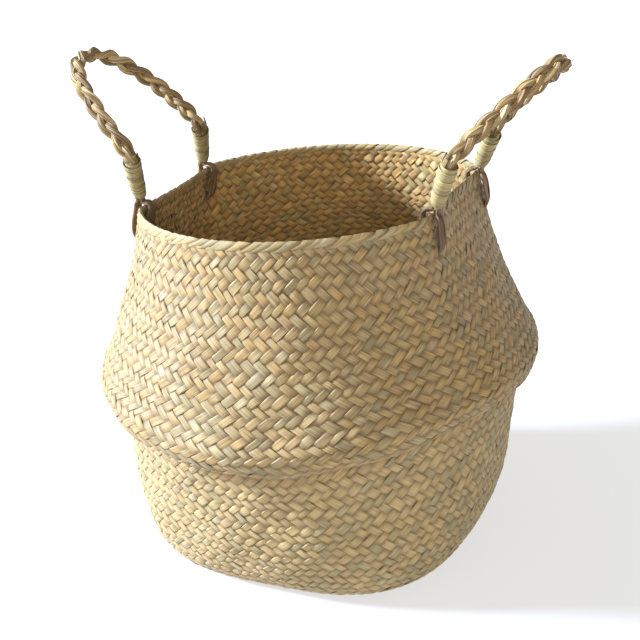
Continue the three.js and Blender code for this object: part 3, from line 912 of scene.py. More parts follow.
@dataclass
class PlaitedHandle:
    """A three-strand plaited handle, each of whose feet is bound round and tied into the wall.

    A sway is a size, in radians for the twist and as a share for the others, and a rate for
    each millimetre.
    """

    form: WallForm
    side: Side
    foot_angle: float = 25.0
    foot_out: float = 3.0
    foot_up: float = 4.4
    binding_start: float = 3.6
    binding_length: float = 27.5
    join_length: float = 9.0
    curve_points: int = 900
    line_points: int = 2400
    strands: int = 3
    periods: float = 4.5
    half_width: float = 2.65
    half_depth: float = 1.9
    strand_radius: float = 1.22
    bundle_radius: float = 1.75
    neck_radius: float = 1.35
    clearance: float = 0.3
    strand_start: float = 0.6
    strand_rings: int = 230
    blades_per_strand: int = 4
    blade_half_width: float = 2.1
    blade_half_thick: float = 0.74
    width_spread: Pair = (0.82, 1.1)
    thick_spread: Pair = (0.85, 1.1)
    bound_size: float = 0.62
    swell_early: float = 2.0
    arm: float = 1.05
    arm_sway: Pair = (0.12, 0.13)
    size_sway: Pair = (0.07, 0.17)
    twist_length: float = 74.0
    twist_sway: Pair = (0.4, 0.09)
    edge_shade: float = 0.75
    edge_shade_start: float = 0.7
    blade_fibre_step: float = 7.7
    strand_fibre_step: float = 31.0
    seed: int = 21
    side_seed_step: int = 10

    def __post_init__(self) -> None:
        """The centre line: straight up each binding, and two cubic curves that meet at the crown."""
        arch = ARCHES[self.side]
        self.out = np.array([self.side.value, 0.0, 0.0])
        front, back = self.pivot(End.FRONT), self.pivot(End.BACK)
        self.span = unit(back - front)
        middle = (front + back) / 2
        crown = middle + self.span * arch.crown_shift + self.out * arch.crown_out + UP * arch.crown_rise
        over = unit(self.span + UP * arch.crown_tilt)
        front_way, back_way = (
            unit(self.out * tip_out + UP * tip_rise + self.span * tip_lean)
            for tip_out, tip_rise, tip_lean in (arch.front_tip, arch.back_tip)
        )
        front_tip, back_tip = front + front_way * self.binding_end, back + back_way * self.binding_end
        front_pull = front_tip + front_way * arch.front_shoulder
        back_pull = back_tip + back_way * arch.back_shoulder
        share = np.linspace(0, 1, self.curve_points)[:, None]
        climb = bezier((front_tip, front_pull, crown - over * arch.front_reach, crown), share)
        fall = bezier((crown, crown + over * arch.back_reach, back_pull, back_tip), share)
        line = np.vstack([mix(front, front_tip, share), climb, fall, mix(back_tip, back, share)])
        self.line = even_points(line, self.line_points)
        self.length = float(np.linalg.norm(np.diff(self.line, axis=0), axis=1).sum())
        self.tangents = unit(np.gradient(self.line, axis=0))
        self.plane = unit(np.cross(self.span, crown - middle))

    @property
    def binding_end(self) -> float:
        """Distance from a foot at which its binding ends."""
        return self.binding_start + self.binding_length

    def foot_direction(self, end: End) -> float:
        """Angle round the wall of a foot, in radians."""
        around = 0.0 if self.side is Side.RIGHT else math.pi
        return around + self.side.value * end.value * math.radians(self.foot_angle)

    def pivot(self, end: End) -> np.ndarray:
        """Where a foot meets the line that the handle swings about."""
        edge = self.form.point(np.array(self.foot_direction(end)), np.array(0.0), 0.0)
        return edge + self.out * self.foot_out + UP * self.foot_up

    def section(self, distance: np.ndarray) -> tuple[np.ndarray, ...]:
        """Section of the handle at distances along it.

        Args:
            distance: millimetres from the front foot.

        Returns:
            Centre, direction along, and the two directions across, each with a last axis of three.
        """
        at = np.clip(distance / self.length, 0, 1) * (len(self.line) - 1)
        places = np.arange(len(self.line))
        centre, along = (
            np.stack([np.interp(at, places, table[:, k]) for k in range(3)], -1)
            for table in (self.line, self.tangents)
        )
        along = unit(along)
        across = unit(np.cross(along, self.plane))
        return centre, along, across, unit(np.cross(across, along))

    def plaited_at(self, from_foot: np.ndarray, early: float = 0.0) -> np.ndarray:
        """Share of the plait's form: 0 up to a binding's end, or a little early, and 1 past the join."""
        return smooth(from_foot, self.binding_end - early, self.binding_end + self.join_length)

    def radius_at(self, from_foot: np.ndarray) -> np.ndarray:
        """Radius of a strand: neck to bundle radius up the binding, then down to the plait's."""
        bound = mix(self.neck_radius, self.bundle_radius, smooth(from_foot, 0, self.binding_end))
        return mix(bound, self.strand_radius, self.plaited_at(from_foot))

    def spread_at(self, from_foot: np.ndarray) -> np.ndarray:
        """Distance of three touching strands from the middle of their bundle."""
        return (2 * self.radius_at(from_foot) + self.clearance) / math.sqrt(3)

    def strand_centre(self, number: int, distance: np.ndarray) -> np.ndarray:
        """Centre of a strand.

        The plait bends along its flat face, so a strand goes from edge to edge, square to the
        arch's plane, as a sine, and over and under at twice that rate. Its crossings come closer
        towards the back foot by the arch's tightening.

        Args:
            number: which strand, from 0.
            distance: millimetres from the front foot, shape (rings).

        Returns:
            Points, shape (rings, 3).
        """
        from_foot = np.minimum(distance, self.length - distance)
        start = self.binding_end + self.join_length / 2
        share = np.clip((distance - start) / (self.length - 2 * start), 0, 1)
        share = share - ARCHES[self.side].tightening * share * (1 - share)
        phase = math.pi / 2 + FULL_TURN * (share * self.periods + number / self.strands)
        plaited = self.plaited_at(from_foot)
        spread = self.spread_at(from_foot)
        centre, _, across, over = self.section(distance)
        sideways = mix(spread, self.half_width, plaited) * np.sin(phase)
        lift = mix(spread, self.half_depth, plaited) * np.sin(2 * phase)
        return centre - over * sideways[:, None] + across * lift[:, None]

    def strand(self, number: int) -> Ribbons:
        """One strand: flat blades that lie round a common middle and turn slowly about it.

        Each blade's centre is the strand's centre plus a short arm at an angle that grows evenly
        along the strand, and the blade's flat side faces along the arm.

        Args:
            number: which strand, from 0.

        Returns:
            Points and attributes.
        """
        draw = np.random.default_rng(self.seed + number + self.side_seed_step * self.side.value)
        distance = np.linspace(self.strand_start, self.length - self.strand_start, self.strand_rings)
        from_foot = np.minimum(distance, self.length - distance)
        middle = self.strand_centre(number, distance)
        along = unit(np.gradient(middle, axis=0))
        first = unit(np.cross(along, self.section(distance)[2]))
        blades = np.arange(self.blades_per_strand)[:, None]
        phases = draw.uniform(0, PHASE_SPAN, (3, *blades.shape))
        turn = FULL_TURN * (blades / self.blades_per_strand + distance / self.twist_length)
        turn = turn + draw.uniform(0, PHASE_SPAN) + sway(self.twist_sway, distance, phases[0])
        arm = spoke(first, np.cross(first, along), turn)
        bound = self.bound_size * self.radius_at(from_foot) / self.strand_radius
        size = mix(bound, 1.0, self.plaited_at(from_foot, self.swell_early))
        size = size * (1 + sway(self.size_sway, distance, phases[1]))
        length = self.arm * size * (1 + sway(self.arm_sway, distance, phases[2]))
        centres = middle + arm * length[..., None]
        wide = self.blade_half_width * size * draw.uniform(*self.width_spread, blades.shape)
        half_thick = self.blade_half_thick * size * draw.uniform(*self.thick_spread, blades.shape)
        points = ribbon_points(centres, arm, wide, half_thick)
        tone = draw.random(blades.shape)[..., None]
        numbers = self.blade_fibre_step * blades[:, 0] + self.strand_fibre_step * number
        # Painted shade along the edges of each blade, between the blades of a strand
        tuck = self.edge_shade * near_edge(self.edge_shade_start)
        return points, {"run": run_field(centres, wide, numbers), "tone": tone, "tuck": tuck}


@dataclass
class FootBinding:
    """The strip wound round a handle's foot, each turn lapping the one before.

    A fade is a range of shares of the strip's length, and a sway is a size and a rate for the
    strip's whole length. The stubs are the cut blade ends at the top.
    """

    handle: PlaitedHandle
    end: End
    turns: float = 9.0
    rings_per_turn: int = 26
    half_width: float = 2.2
    half_thick: float = 0.42
    lap: float = 0.2
    lowest: float = 1.5
    foot_radius: float = 2.0
    foot_taper: float = 9.0
    top_inset: float = 0.7
    climb_sways: tuple[Pair, Pair] = ((0.3, 23.0), (0.22, 57.0))
    climb_fades: tuple[Pair, Pair] = ((0.0, 0.1), (0.9, 1.0))
    end_fades: tuple[Pair, Pair] = ((0.0, 0.035), (0.965, 1.0))
    end_width: float = 0.45
    width_sway: Pair = (0.08, 41.0)
    flattening: float = 0.035
    flattening_turn: float = 3.0
    skin_gap: Pair = (0.1, 0.72)
    skin_sway: Pair = (0.1, 91.0)
    turn_tones: int = 12
    # Painted shade along each turn's edges, by a random amount for each turn
    turn_shade: Pair = (0.1, 0.8)
    turn_shade_start: float = 0.8
    least_tuck: float = 0.06
    fibre_step: float = 1.7
    core_inset: float = 0.8
    core_swell: float = 0.35
    core_rings: int = 24
    core_sides: int = 12
    core_tone: float = 0.5
    # Painted shade: the filling is mixed far towards the shade colour, as gaps between turns would look
    core_tuck: float = 0.9
    stubs: int = 5
    stub_root: float = 5.0
    stub_length: Pair = (1.5, 4.2)
    stub_lean: Pair = (0.3, 1.6)
    stub_turn: Pair = (0.0, 6.3)
    stub_gap: float = 0.1
    stub_half_width: Pair = (1.1, 1.7)
    stub_half_thick: float = 0.38
    stub_taper: float = 0.75
    stub_rings: int = 9
    stub_fibre_step: float = 13.3
    stub_tuck: float = 0.3
    stub_seed_steps: tuple[int, int] = (5, 11)
    seed: int = 41

    def place(self, from_foot: np.ndarray) -> tuple[np.ndarray, ...]:
        """Section of the handle at distances from this foot.

        Under the foot, where distances are negative, the line goes on straight.

        Args:
            from_foot: millimetres up the binding.

        Returns:
            Centre, direction away from the foot, and the two directions across.
        """
        front = self.end is End.FRONT
        distance = from_foot if front else self.handle.length - from_foot
        centre, along, across, over = self.handle.section(distance)
        away = along * (1 if front else -1)
        return centre + away * np.minimum(from_foot, 0)[..., None], away, across, over

    def bundle_at(self, from_foot: np.ndarray) -> np.ndarray:
        """Radius of the three strands together."""
        return self.handle.spread_at(from_foot) + self.handle.radius_at(from_foot)

    def skin_at(self, from_foot: np.ndarray) -> np.ndarray:
        """Radius under the strip: the bundle's, which narrows to its eye blades at the foot."""
        bound = smooth(from_foot, -self.foot_taper / 2, self.foot_taper)
        return mix(self.foot_radius, self.bundle_at(from_foot), bound)

    def strip(self) -> Ribbons:
        """The strip: a helix whose radius follows the bundle, tilted so that its turns lap.

        Its distance up the foot grows evenly with the turn, with small uneven steps, and both
        its ends narrow and sink under the neighbouring turns.

        Returns:
            Points and attributes.
        """
        draw = foot_draws(self.seed, self.end, self.handle.side)
        share = np.linspace(0, 1, int(self.turns * self.rings_per_turn) + 1)
        waver = sum(sway(pattern, share, draw.uniform(0, PHASE_SPAN)) for pattern in self.climb_sways)
        top = self.handle.binding_end - self.top_inset * self.half_width
        from_foot = mix(self.lowest, top, share) + waver * window(share, *self.climb_fades)
        centre, along, across, over = self.place(from_foot)
        turn = FULL_TURN * self.turns * share + draw.uniform(0, PHASE_SPAN)
        outward = spoke(across, over, turn)
        ends = window(share, *self.end_fades)
        flattened = 1 + self.flattening * np.sin(2 * turn + self.flattening_turn * share)
        reach = (self.skin_at(from_foot) + self.handle.clearance) * flattened
        reach = reach + mix(*self.skin_gap, ends) + sway(self.skin_sway, share, 1)
        centres = (centre + outward * reach[:, None])[None]
        normals = (outward - along * self.lap)[None]
        wide = (self.half_width * mix(self.end_width, 1, ends) * (1 + sway(self.width_sway, share, 0)))[None]
        points = ribbon_points(centres, normals, wide, self.half_thick)
        number = np.floor(self.turns * share).astype(int)[:, None]
        tone = draw.random(self.turn_tones)[number][None]
        shade = draw.uniform(*self.turn_shade, self.turn_tones)[number][None]
        run = run_field(centres, wide, np.array([self.fibre_step * self.seed]))
        # Painted shade along the turns' edges, over an even least darkening of the whole strip
        tuck = self.least_tuck + near_edge(self.turn_shade_start) * shade
        return points, {"run": run, "tone": tone, "tuck": tuck}

    def core(self) -> Ribbons:
        """Round filling under the strip, so that no gap between turns shows through; it carries painted
        shade.

        Returns:
            Points and attributes.
        """
        from_foot = np.linspace(self.lowest, self.handle.binding_end - self.core_inset, self.core_rings)
        centre, _, across, over = self.place(from_foot)
        turn = np.arange(self.core_sides) * FULL_TURN / self.core_sides
        radius = self.skin_at(from_foot) + self.core_swell
        points = centre[:, None] + spoke(across[:, None], over[:, None], turn) * radius[:, None, None]
        run = np.stack(np.broadcast_arrays(from_foot[:, None], turn, 0.0), -1)
        return points[None], {"run": run[None], "tone": self.core_tone, "tuck": self.core_tuck}

    def tuft(self) -> Ribbons:
        """Cut ends of the bundle, which stand out a little past the binding's top.

        Each leaves the bundle's skin under the last turns, and its distance from the middle
        grows as the square of the share along it.

        Returns:
            Points and attributes.
        """
        draw = foot_draws(self.seed, self.end, self.handle.side, self.stub_seed_steps)
        share = np.linspace(0, 1, self.stub_rings)[None, :]
        ranges = (self.stub_length, self.stub_lean, self.stub_turn)
        long, lean, turn = (draw.uniform(*limits, (self.stubs, 1)) for limits in ranges)
        from_foot = self.handle.binding_end - self.stub_root + (self.stub_root + long) * share
        centre, _, across, over = self.place(from_foot)
        outward = spoke(across, over, turn)
        reach = self.bundle_at(from_foot[:, :1]) + self.stub_gap + lean * share**2
        centres = centre + outward * reach[..., None]
        wide = draw.uniform(*self.stub_half_width, turn.shape) * mix(1, self.stub_taper, share)
        points = ribbon_points(centres, outward, wide, self.stub_half_thick)
        tone = draw.random((self.stubs, 1, 1))
        run = run_field(centres, wide, self.stub_fibre_step * np.arange(self.stubs))
        # The cut ends are darkened evenly towards the painted shade colour
        return points, {"run": run, "tone": tone, "tuck": self.stub_tuck}


@dataclass
class EyeBlades:
    """Two blades that tie a foot to the wall.

    They go down outside, through the slit, up inside and over the rim. Pairs for the border
    and the legs are the outside's value and the inside's: a share of the depth, and how far a
    blade stands off there.
    """

    handle: PlaitedHandle
    end: End
    blade_radius: float = 1.5
    spacing: float = 4.2
    gather: float = 0.45
    bow: float = 0.9
    root: float = 4.2
    root_share: float = 0.6
    top_drop: float = 2.4
    half_apart: float = 1.8
    bulge_drop: float = 2.0
    bulge_out: float = 0.7
    border_height: float = 5.0
    border_share: Pair = (0.7, 0.55)
    border_gap: Pair = (0.8, 0.6)
    over_border: float = 4.2
    over_edge: float = 1.2
    crest_out: float = 2.2
    leg_spread: float = 3.9
    leg_share: Pair = (0.55, 0.5)
    leg_gap: Pair = (0.6, 0.5)
    lower_leg: float = 0.95
    slit_depth: float = 21.0
    slit_bend: float = 0.8
    slit_half: float = 2.0
    half_width: float = 2.15
    half_thick: float = 1.05
    width_sway: Pair = (0.1, 9.0)
    twist: float = 0.35
    foot_pinch: float = 0.5
    pinch_share: float = 0.12
    curve_points: int = 600
    rings: int = 64
    fibre_numbers: Pair = (3.3, 9.1)
    seed: int = 61

    def on_wall(self, sideways: float, *places: Pair) -> np.ndarray:
        """Places off the middle of the wall.

        The two blades are gathered at the rim and at the slit, and bow apart between as a half
        sine.

        Args:
            sideways: millimetres of this blade from the middle between the two.
            places: each a depth under the rim and a distance out.

        Returns:
            Points, shape (places, 3).
        """
        depth, spread = np.array(places).T
        angle = np.array(self.handle.foot_direction(self.end))
        point, normal, around = self.handle.form.frame(angle, depth)
        bowed = self.bow * np.sin(math.pi * np.clip(depth / self.slit_depth, 0, 1))
        apart = self.handle.side.value * sideways * (self.gather + bowed)
        return point + normal * spread[:, None] + around * apart[:, None]

    def at_foot(self, sideways: float, *places: Pair) -> np.ndarray:
        """Places round the handle's foot, along and square to the way that it points.

        Args:
            sideways: millimetres of this blade from the middle between the two.
            places: each a drop under the foot and a distance out.

        Returns:
            Points, shape (places, 3).
        """
        handle, front = self.handle, self.end is End.FRONT
        drop, spread = np.array(places).T[..., None]
        tangent = handle.section(np.array([0.0 if front else handle.length]))[1][0]
        down = tangent * (-1 if front else 1)
        out = unit(handle.out - down * (handle.out @ down))
        beside = handle.pivot(self.end) + handle.span * sideways * self.foot_pinch
        return beside + down * drop + out * spread

    def route(self, shift: int) -> np.ndarray:
        """Centre line of one blade: a curve through the places that tie it round border and slit.

        Args:
            shift: -1 or 1, for the blade on either side.

        Returns:
            Points, shape (rings, 3).
        """
        sideways = shift * self.spacing / 2
        root, drop, half = self.top_drop - self.root, self.top_drop, self.half_apart
        border, over, leg, slit = self.border_height, self.over_border, self.leg_spread, self.slit_depth
        bulge = (drop + self.bulge_drop, half + self.bulge_out)
        down = self.at_foot(sideways, (root, half * self.root_share), (drop, half), bulge)
        through = self.on_wall(
            sideways,
            (border * self.border_share[0], over + self.border_gap[0]),
            (slit * self.leg_share[0], leg + self.leg_gap[0]),
            (slit - leg, leg * self.lower_leg),
            (slit - self.slit_bend, self.slit_half),
            (slit, 0),
            (slit - self.slit_bend, -self.slit_half),
            (slit - leg, -leg),
            (slit * self.leg_share[1], -leg - self.leg_gap[1]),
            (border * self.border_share[1], -over - self.border_gap[1]),
            (-self.over_edge, -over),
            (-self.over_edge - self.blade_radius, -self.crest_out),
        )
        back = self.at_foot(sideways, (drop, -half), (root, -half * self.root_share))
        knots = np.vstack([down, through, back])
        curve = knotted_curve(knots, np.linspace(0, len(knots) - 1, self.curve_points))
        return even_points(curve, self.rings)

    def blades(self) -> Ribbons:
        """Both blades, slightly twisted, with the flat side towards the wall where they lie on it.

        Returns:
            Points and attributes.
        """
        draw = foot_draws(self.seed, self.end, self.handle.side)
        centres = np.stack([self.route(shift) for shift in (-1, 1)])
        along = unit(np.gradient(centres, axis=1))
        flat = unit(np.cross(np.broadcast_to(self.handle.span, along.shape), along))
        share = np.linspace(0, 1, self.rings)[None]
        twist = self.twist * np.sin(FULL_TURN * share + draw.uniform(0, PHASE_SPAN, (2, 1)))
        normals = spoke(flat, np.cross(along, flat), twist)
        wide = self.half_width * (1 + sway(self.width_sway, share, draw.uniform(0, PHASE_SPAN, (2, 1))))
        inward = smooth(np.minimum(share, 1 - share), 0, self.pinch_share)
        wide = wide * mix(self.foot_pinch, 1, inward)
        points = ribbon_points(centres, normals, wide, self.half_thick)
        run = run_field(centres, wide, np.array(self.fibre_numbers))
        return points, {"run": run, "tone": draw.random((2, 1, 1)), "tuck": 0.0}


class NodeBench:
    """Makes and joins the nodes of one shader tree."""

    def __init__(self, tree: bpy.types.NodeTree) -> None:
        """Keeps the tree that the nodes go into."""
        self.tree = tree

    def feed(self, node: bpy.types.Node, inputs: dict[str | int, object]) -> None:
        """Sets inputs of a node.

        Args:
            node: the node.
            inputs: a value or another node's output for each input's name or number.
        """
        for key, value in inputs.items():
            if isinstance(value, bpy.types.NodeSocket):
                self.tree.links.new(value, node.inputs[key])
            else:
                node.inputs[key].default_value = value

    def add(self, kind: str, inputs: dict[str | int, object], **settings: object) -> bpy.types.Node:
        """Makes a node.

        Args:
            kind: the node's type.
            inputs: what each input takes, as for feed.
            settings: the node's own properties, which are set before its inputs.

        Returns:
            The node.
        """
        node = self.tree.nodes.new(kind)
        for key, value in settings.items():
            setattr(node, key, value)
        self.feed(node, inputs)
        return node

    def maths(self, operation: str, *values: object) -> bpy.types.NodeSocket:
        """Output of a node that works out one operation on values or outputs."""
        return self.add("ShaderNodeMath", dict(enumerate(values)), operation=operation).outputs[0]

    def scaled(self, value: bpy.types.NodeSocket, limits: Pair, wanted: Pair) -> bpy.types.NodeSocket:
        """Output that crosses the wanted range as a value goes from one limit to the other."""
        names = ("From Min", "From Max", "To Min", "To Max")
        inputs = dict(zip(names, (*limits, *wanted)))
        return self.add("ShaderNodeMapRange", {"Value": value, **inputs}).outputs["Result"]

    def coloured(self, factor: object, first: object, second: object, blend: str) -> bpy.types.NodeSocket:
        """Output of a node that blends two colours."""
        inputs = {"Factor": factor, "A": first, "B": second}
        return self.add("ShaderNodeMix", inputs, data_type="RGBA", blend_type=blend).outputs["Result"]


@dataclass
class FibreGrain:
    """Shader node group of the long fibres, the blotches and the fine ribs of a dried blade.

    It reads the blade's own coordinates: millimetres along and across, and a number that
    differs from blade to blade. Each pattern is noise on them, stretched by three factors.
    """

    streaks: Triple = (0.035, 1.9, 1.0)
    ribs: Triple = (0.11, 5.5, 1.0)
    blotches: Triple = (0.05, 0.22, 1.0)
    cracks: Triple = (0.5, 0.9, 1.0)
    rib_height: float = 0.45
    crack_height: float = 0.35
    coarse_detail: float = 2.0
    fine_detail: float = 3.0

    def __post_init__(self) -> None:
        """Builds the group once."""
        self.tree = bpy.data.node_groups.new("fibre_grain", "ShaderNodeTree")
        self.tree.interface.new_socket("Run", in_out="INPUT", socket_type="NodeSocketVector")
        for key in ("Streak", "Blotch", "Height"):
            self.tree.interface.new_socket(key, in_out="OUTPUT", socket_type="NodeSocketFloat")
        bench = NodeBench(self.tree)
        run = bench.add("NodeGroupInput", {}).outputs["Run"]
        streak = self._noise(bench, run, self.streaks, self.fine_detail)
        rib = self._noise(bench, run, self.ribs, self.coarse_detail)
        blotch = self._noise(bench, run, self.blotches, self.coarse_detail)
        crack = self._noise(bench, run, self.cracks, self.fine_detail)
        ribbed = bench.maths("MULTIPLY_ADD", rib, self.rib_height, streak)
        height = bench.maths("MULTIPLY_ADD", crack, self.crack_height, ribbed)
        bench.add("NodeGroupOutput", {"Streak": streak, "Blotch": blotch, "Height": height})

    @staticmethod
    def _noise(
        bench: NodeBench, run: bpy.types.NodeSocket, stretch: Triple, detail: float
    ) -> bpy.types.NodeSocket:
        """Noise on the blade's coordinates.

        Args:
            bench: where the nodes are made.
            run: output that gives the coordinates.
            stretch: factors along, across and from blade to blade.
            detail: how fine the noise is.

        Returns:
            The noise's output, from 0 to 1.
        """
        stretched = bench.add("ShaderNodeMapping", {"Vector": run, "Scale": stretch}).outputs["Vector"]
        looks = {"Vector": stretched, "Scale": 1.0, "Detail": detail}
        return bench.add("ShaderNodeTexNoise", looks).outputs["Fac"]


@dataclass(frozen=True)
class BladeFinish:
    """Dried blades: each takes its colour from the ramp by its own tone, with painted shade where it dives.

    Colours are linear. Streaks make a blade darker by up to streak_share and lighter by
    streak_light of that, and take its roughness from the first value to the second. Painted
    light brightens and warms the faces that look into the basket, and painted shade darkens
    the blades where the tuck attribute says, towards the painted shade colour.
    """

    name: str
    colours: tuple[tuple[float, Triple], ...]
    # Painted shade: the colour that dives, crevices and edges are mixed towards, and the most of it
    painted_shade_colour: Triple = (0.11, 0.062, 0.024)
    painted_shade_share: float = 0.85
    streak_share: float = 0.5
    streak_limits: Pair = (0.3, 0.7)
    streak_light: float = 0.25
    blotch_share: float = 0.3
    # Painted light: brightens and warms the faces that look into the basket
    inner_tint: Triple = (1.36, 1.24, 1.02)
    roughness: Pair = (0.78, 0.5)
    bump_mm: float = 0.16
    bump_strength: float = 0.7
    sheen: float = 0.05
    specular: float = 0.35

    def material(self, grain: FibreGrain) -> bpy.types.Material:
        """Builds the material.

        The ramp is read by tone and blotches, streaked by the fibres, brightened by painted light
        on the inner faces and darkened by painted shade in the crevices.

        Args:
            grain: the node group of the fibres.

        Returns:
            The material.
        """
        made = bpy.data.materials.new(self.name)
        made.use_nodes = True
        bench = NodeBench(made.node_tree)
        run, tone, tuck, inner = (
            bench.add("ShaderNodeAttribute", {}, attribute_name=key).outputs
            for key in ("run", "tone", "tuck", "inner")
        )
        fibres = bench.add("ShaderNodeGroup", {"Run": run["Vector"]}, node_tree=grain.tree)
        streak, blotch, height = (fibres.outputs[key] for key in ("Streak", "Blotch", "Height"))

        blotched = bench.maths("MULTIPLY_ADD", blotch, self.blotch_share, tone["Fac"])
        centred = bench.maths("SUBTRACT", blotched, self.blotch_share / 2)
        colour = self._ramp(bench, centred)
        shades = (1 - self.streak_share, 1 + self.streak_share * self.streak_light)
        shade = bench.scaled(streak, self.streak_limits, shades)
        colour = bench.coloured(1, colour, shade, "MULTIPLY")
        # Painted light: the inner faces are brightened by the inner tint
        colour = bench.coloured(inner["Fac"], colour, (*self.inner_tint, 1), "MULTIPLY")
        # Painted shade: mixes towards the shade colour where blades dive and along their edges
        painted_shade_amount = bench.maths("MULTIPLY", tuck["Fac"], self.painted_shade_share)
        colour = bench.coloured(painted_shade_amount, colour, (*self.painted_shade_colour, 1), "MIX")

        bump = {"Strength": self.bump_strength, "Distance": self.bump_mm * MM, "Height": height}
        looks = {
            "Base Color": colour,
            "Roughness": bench.scaled(streak, (0.0, 1.0), self.roughness),
            "Normal": bench.add("ShaderNodeBump", bump).outputs["Normal"],
            "Sheen Weight": self.sheen,
            "Specular IOR Level": self.specular,
        }
        bench.feed(made.node_tree.nodes["Principled BSDF"], looks)
        return made

    def _ramp(self, bench: NodeBench, place: bpy.types.NodeSocket) -> bpy.types.NodeSocket:
        """Ramp of the finish's colours.

        Args:
            bench: where the nodes are made.
            place: output that says where to read the ramp.

        Returns:
            The colour's output.
        """
        node = bench.add("ShaderNodeValToRGB", {"Fac": place})
        stops = node.color_ramp.elements
        while len(stops) < len(self.colours):
            stops.new(0.5)
        for stop, (position, colour) in zip(stops, self.colours):
            stop.position = position
            stop.color = (*colour, 1)
        return node.outputs["Color"]


WALL_FINISH = BladeFinish(
    "dried_blades",
    (
        (0.0, (0.27, 0.205, 0.09)),
        (0.14, (0.35, 0.235, 0.09)),
        (0.3, (0.39, 0.24, 0.082)),
        (0.44, (0.40, 0.27, 0.108)),
        (0.58, (0.31, 0.225, 0.098)),
        (0.7, (0.37, 0.24, 0.09)),
        (0.82, (0.38, 0.235, 0.10)),
        (0.92, (0.27, 0.21, 0.092)),
        (1.0, (0.43, 0.33, 0.16)),
    ),
)
LOWER_FINISH = BladeFinish(
    "pale_lower_blades",
    (
        (0.0, (0.31, 0.24, 0.108)),
        (0.25, (0.39, 0.272, 0.112)),
        (0.5, (0.43, 0.302, 0.126)),
        (0.75, (0.38, 0.257, 0.107)),
        (0.9, (0.30, 0.24, 0.107)),
        (1.0, (0.44, 0.342, 0.163)),
    ),
    streak_share=0.35,
)
RIM_FINISH = BladeFinish(
    "edge_blades",
    (
        (0.0, (0.33, 0.25, 0.11)),
        (0.3, (0.42, 0.29, 0.12)),
        (0.6, (0.37, 0.25, 0.10)),
        (0.85, (0.28, 0.22, 0.095)),
        (1.0, (0.46, 0.355, 0.18)),
    ),
)
TAN_FINISH = BladeFinish(
    "tan_strand_blades",
    (
        (0.0, (0.39, 0.24, 0.084)),
        (0.45, (0.5, 0.33, 0.125)),
        (0.75, (0.29, 0.17, 0.06)),
        (1.0, (0.56, 0.42, 0.2)),
    ),
    streak_share=0.75,
    bump_mm=0.3,
)
DARK_FINISH = BladeFinish(
    "dark_strand_blades",
    ((0.0, (0.28, 0.165, 0.057)), (0.5, (0.41, 0.26, 0.096)), (1.0, (0.21, 0.12, 0.042))),
    streak_share=0.75,
    bump_mm=0.3,
)
EYE_FINISH = BladeFinish(
    "brown_eye_blades",
    ((0.0, (0.15, 0.082, 0.03)), (0.5, (0.27, 0.16, 0.064)), (1.0, (0.10, 0.053, 0.019))),
    streak_share=0.75,
    bump_mm=0.3,
)
BINDING_FINISH = BladeFinish(
    "pale_green_strip",
    ((0.0, (0.35, 0.27, 0.102)), (0.5, (0.43, 0.335, 0.135)), (1.0, (0.27, 0.21, 0.082))),
    streak_share=0.55,
    bump_mm=0.2,
)
FINISHES = (
    WALL_FINISH,
    LOWER_FINISH,
    RIM_FINISH,
    TAN_FINISH,
    DARK_FINISH,
    EYE_FINISH,
    BINDING_FINISH,
)


@dataclass(frozen=True)
class Lamp:
    """A lamp so far away that it lights the floor evenly.

    Angles are in degrees: the azimuth is counted from the camera's own, the elevation from the
    floor, and the width is the lamp's, as seen from the object. The strength is the power on a
    square metre, and the colour is linear.
    """

    name: str
    azimuth: float
    elevation: float
    width: float
    strength: float
    colour: Triple = WHITE


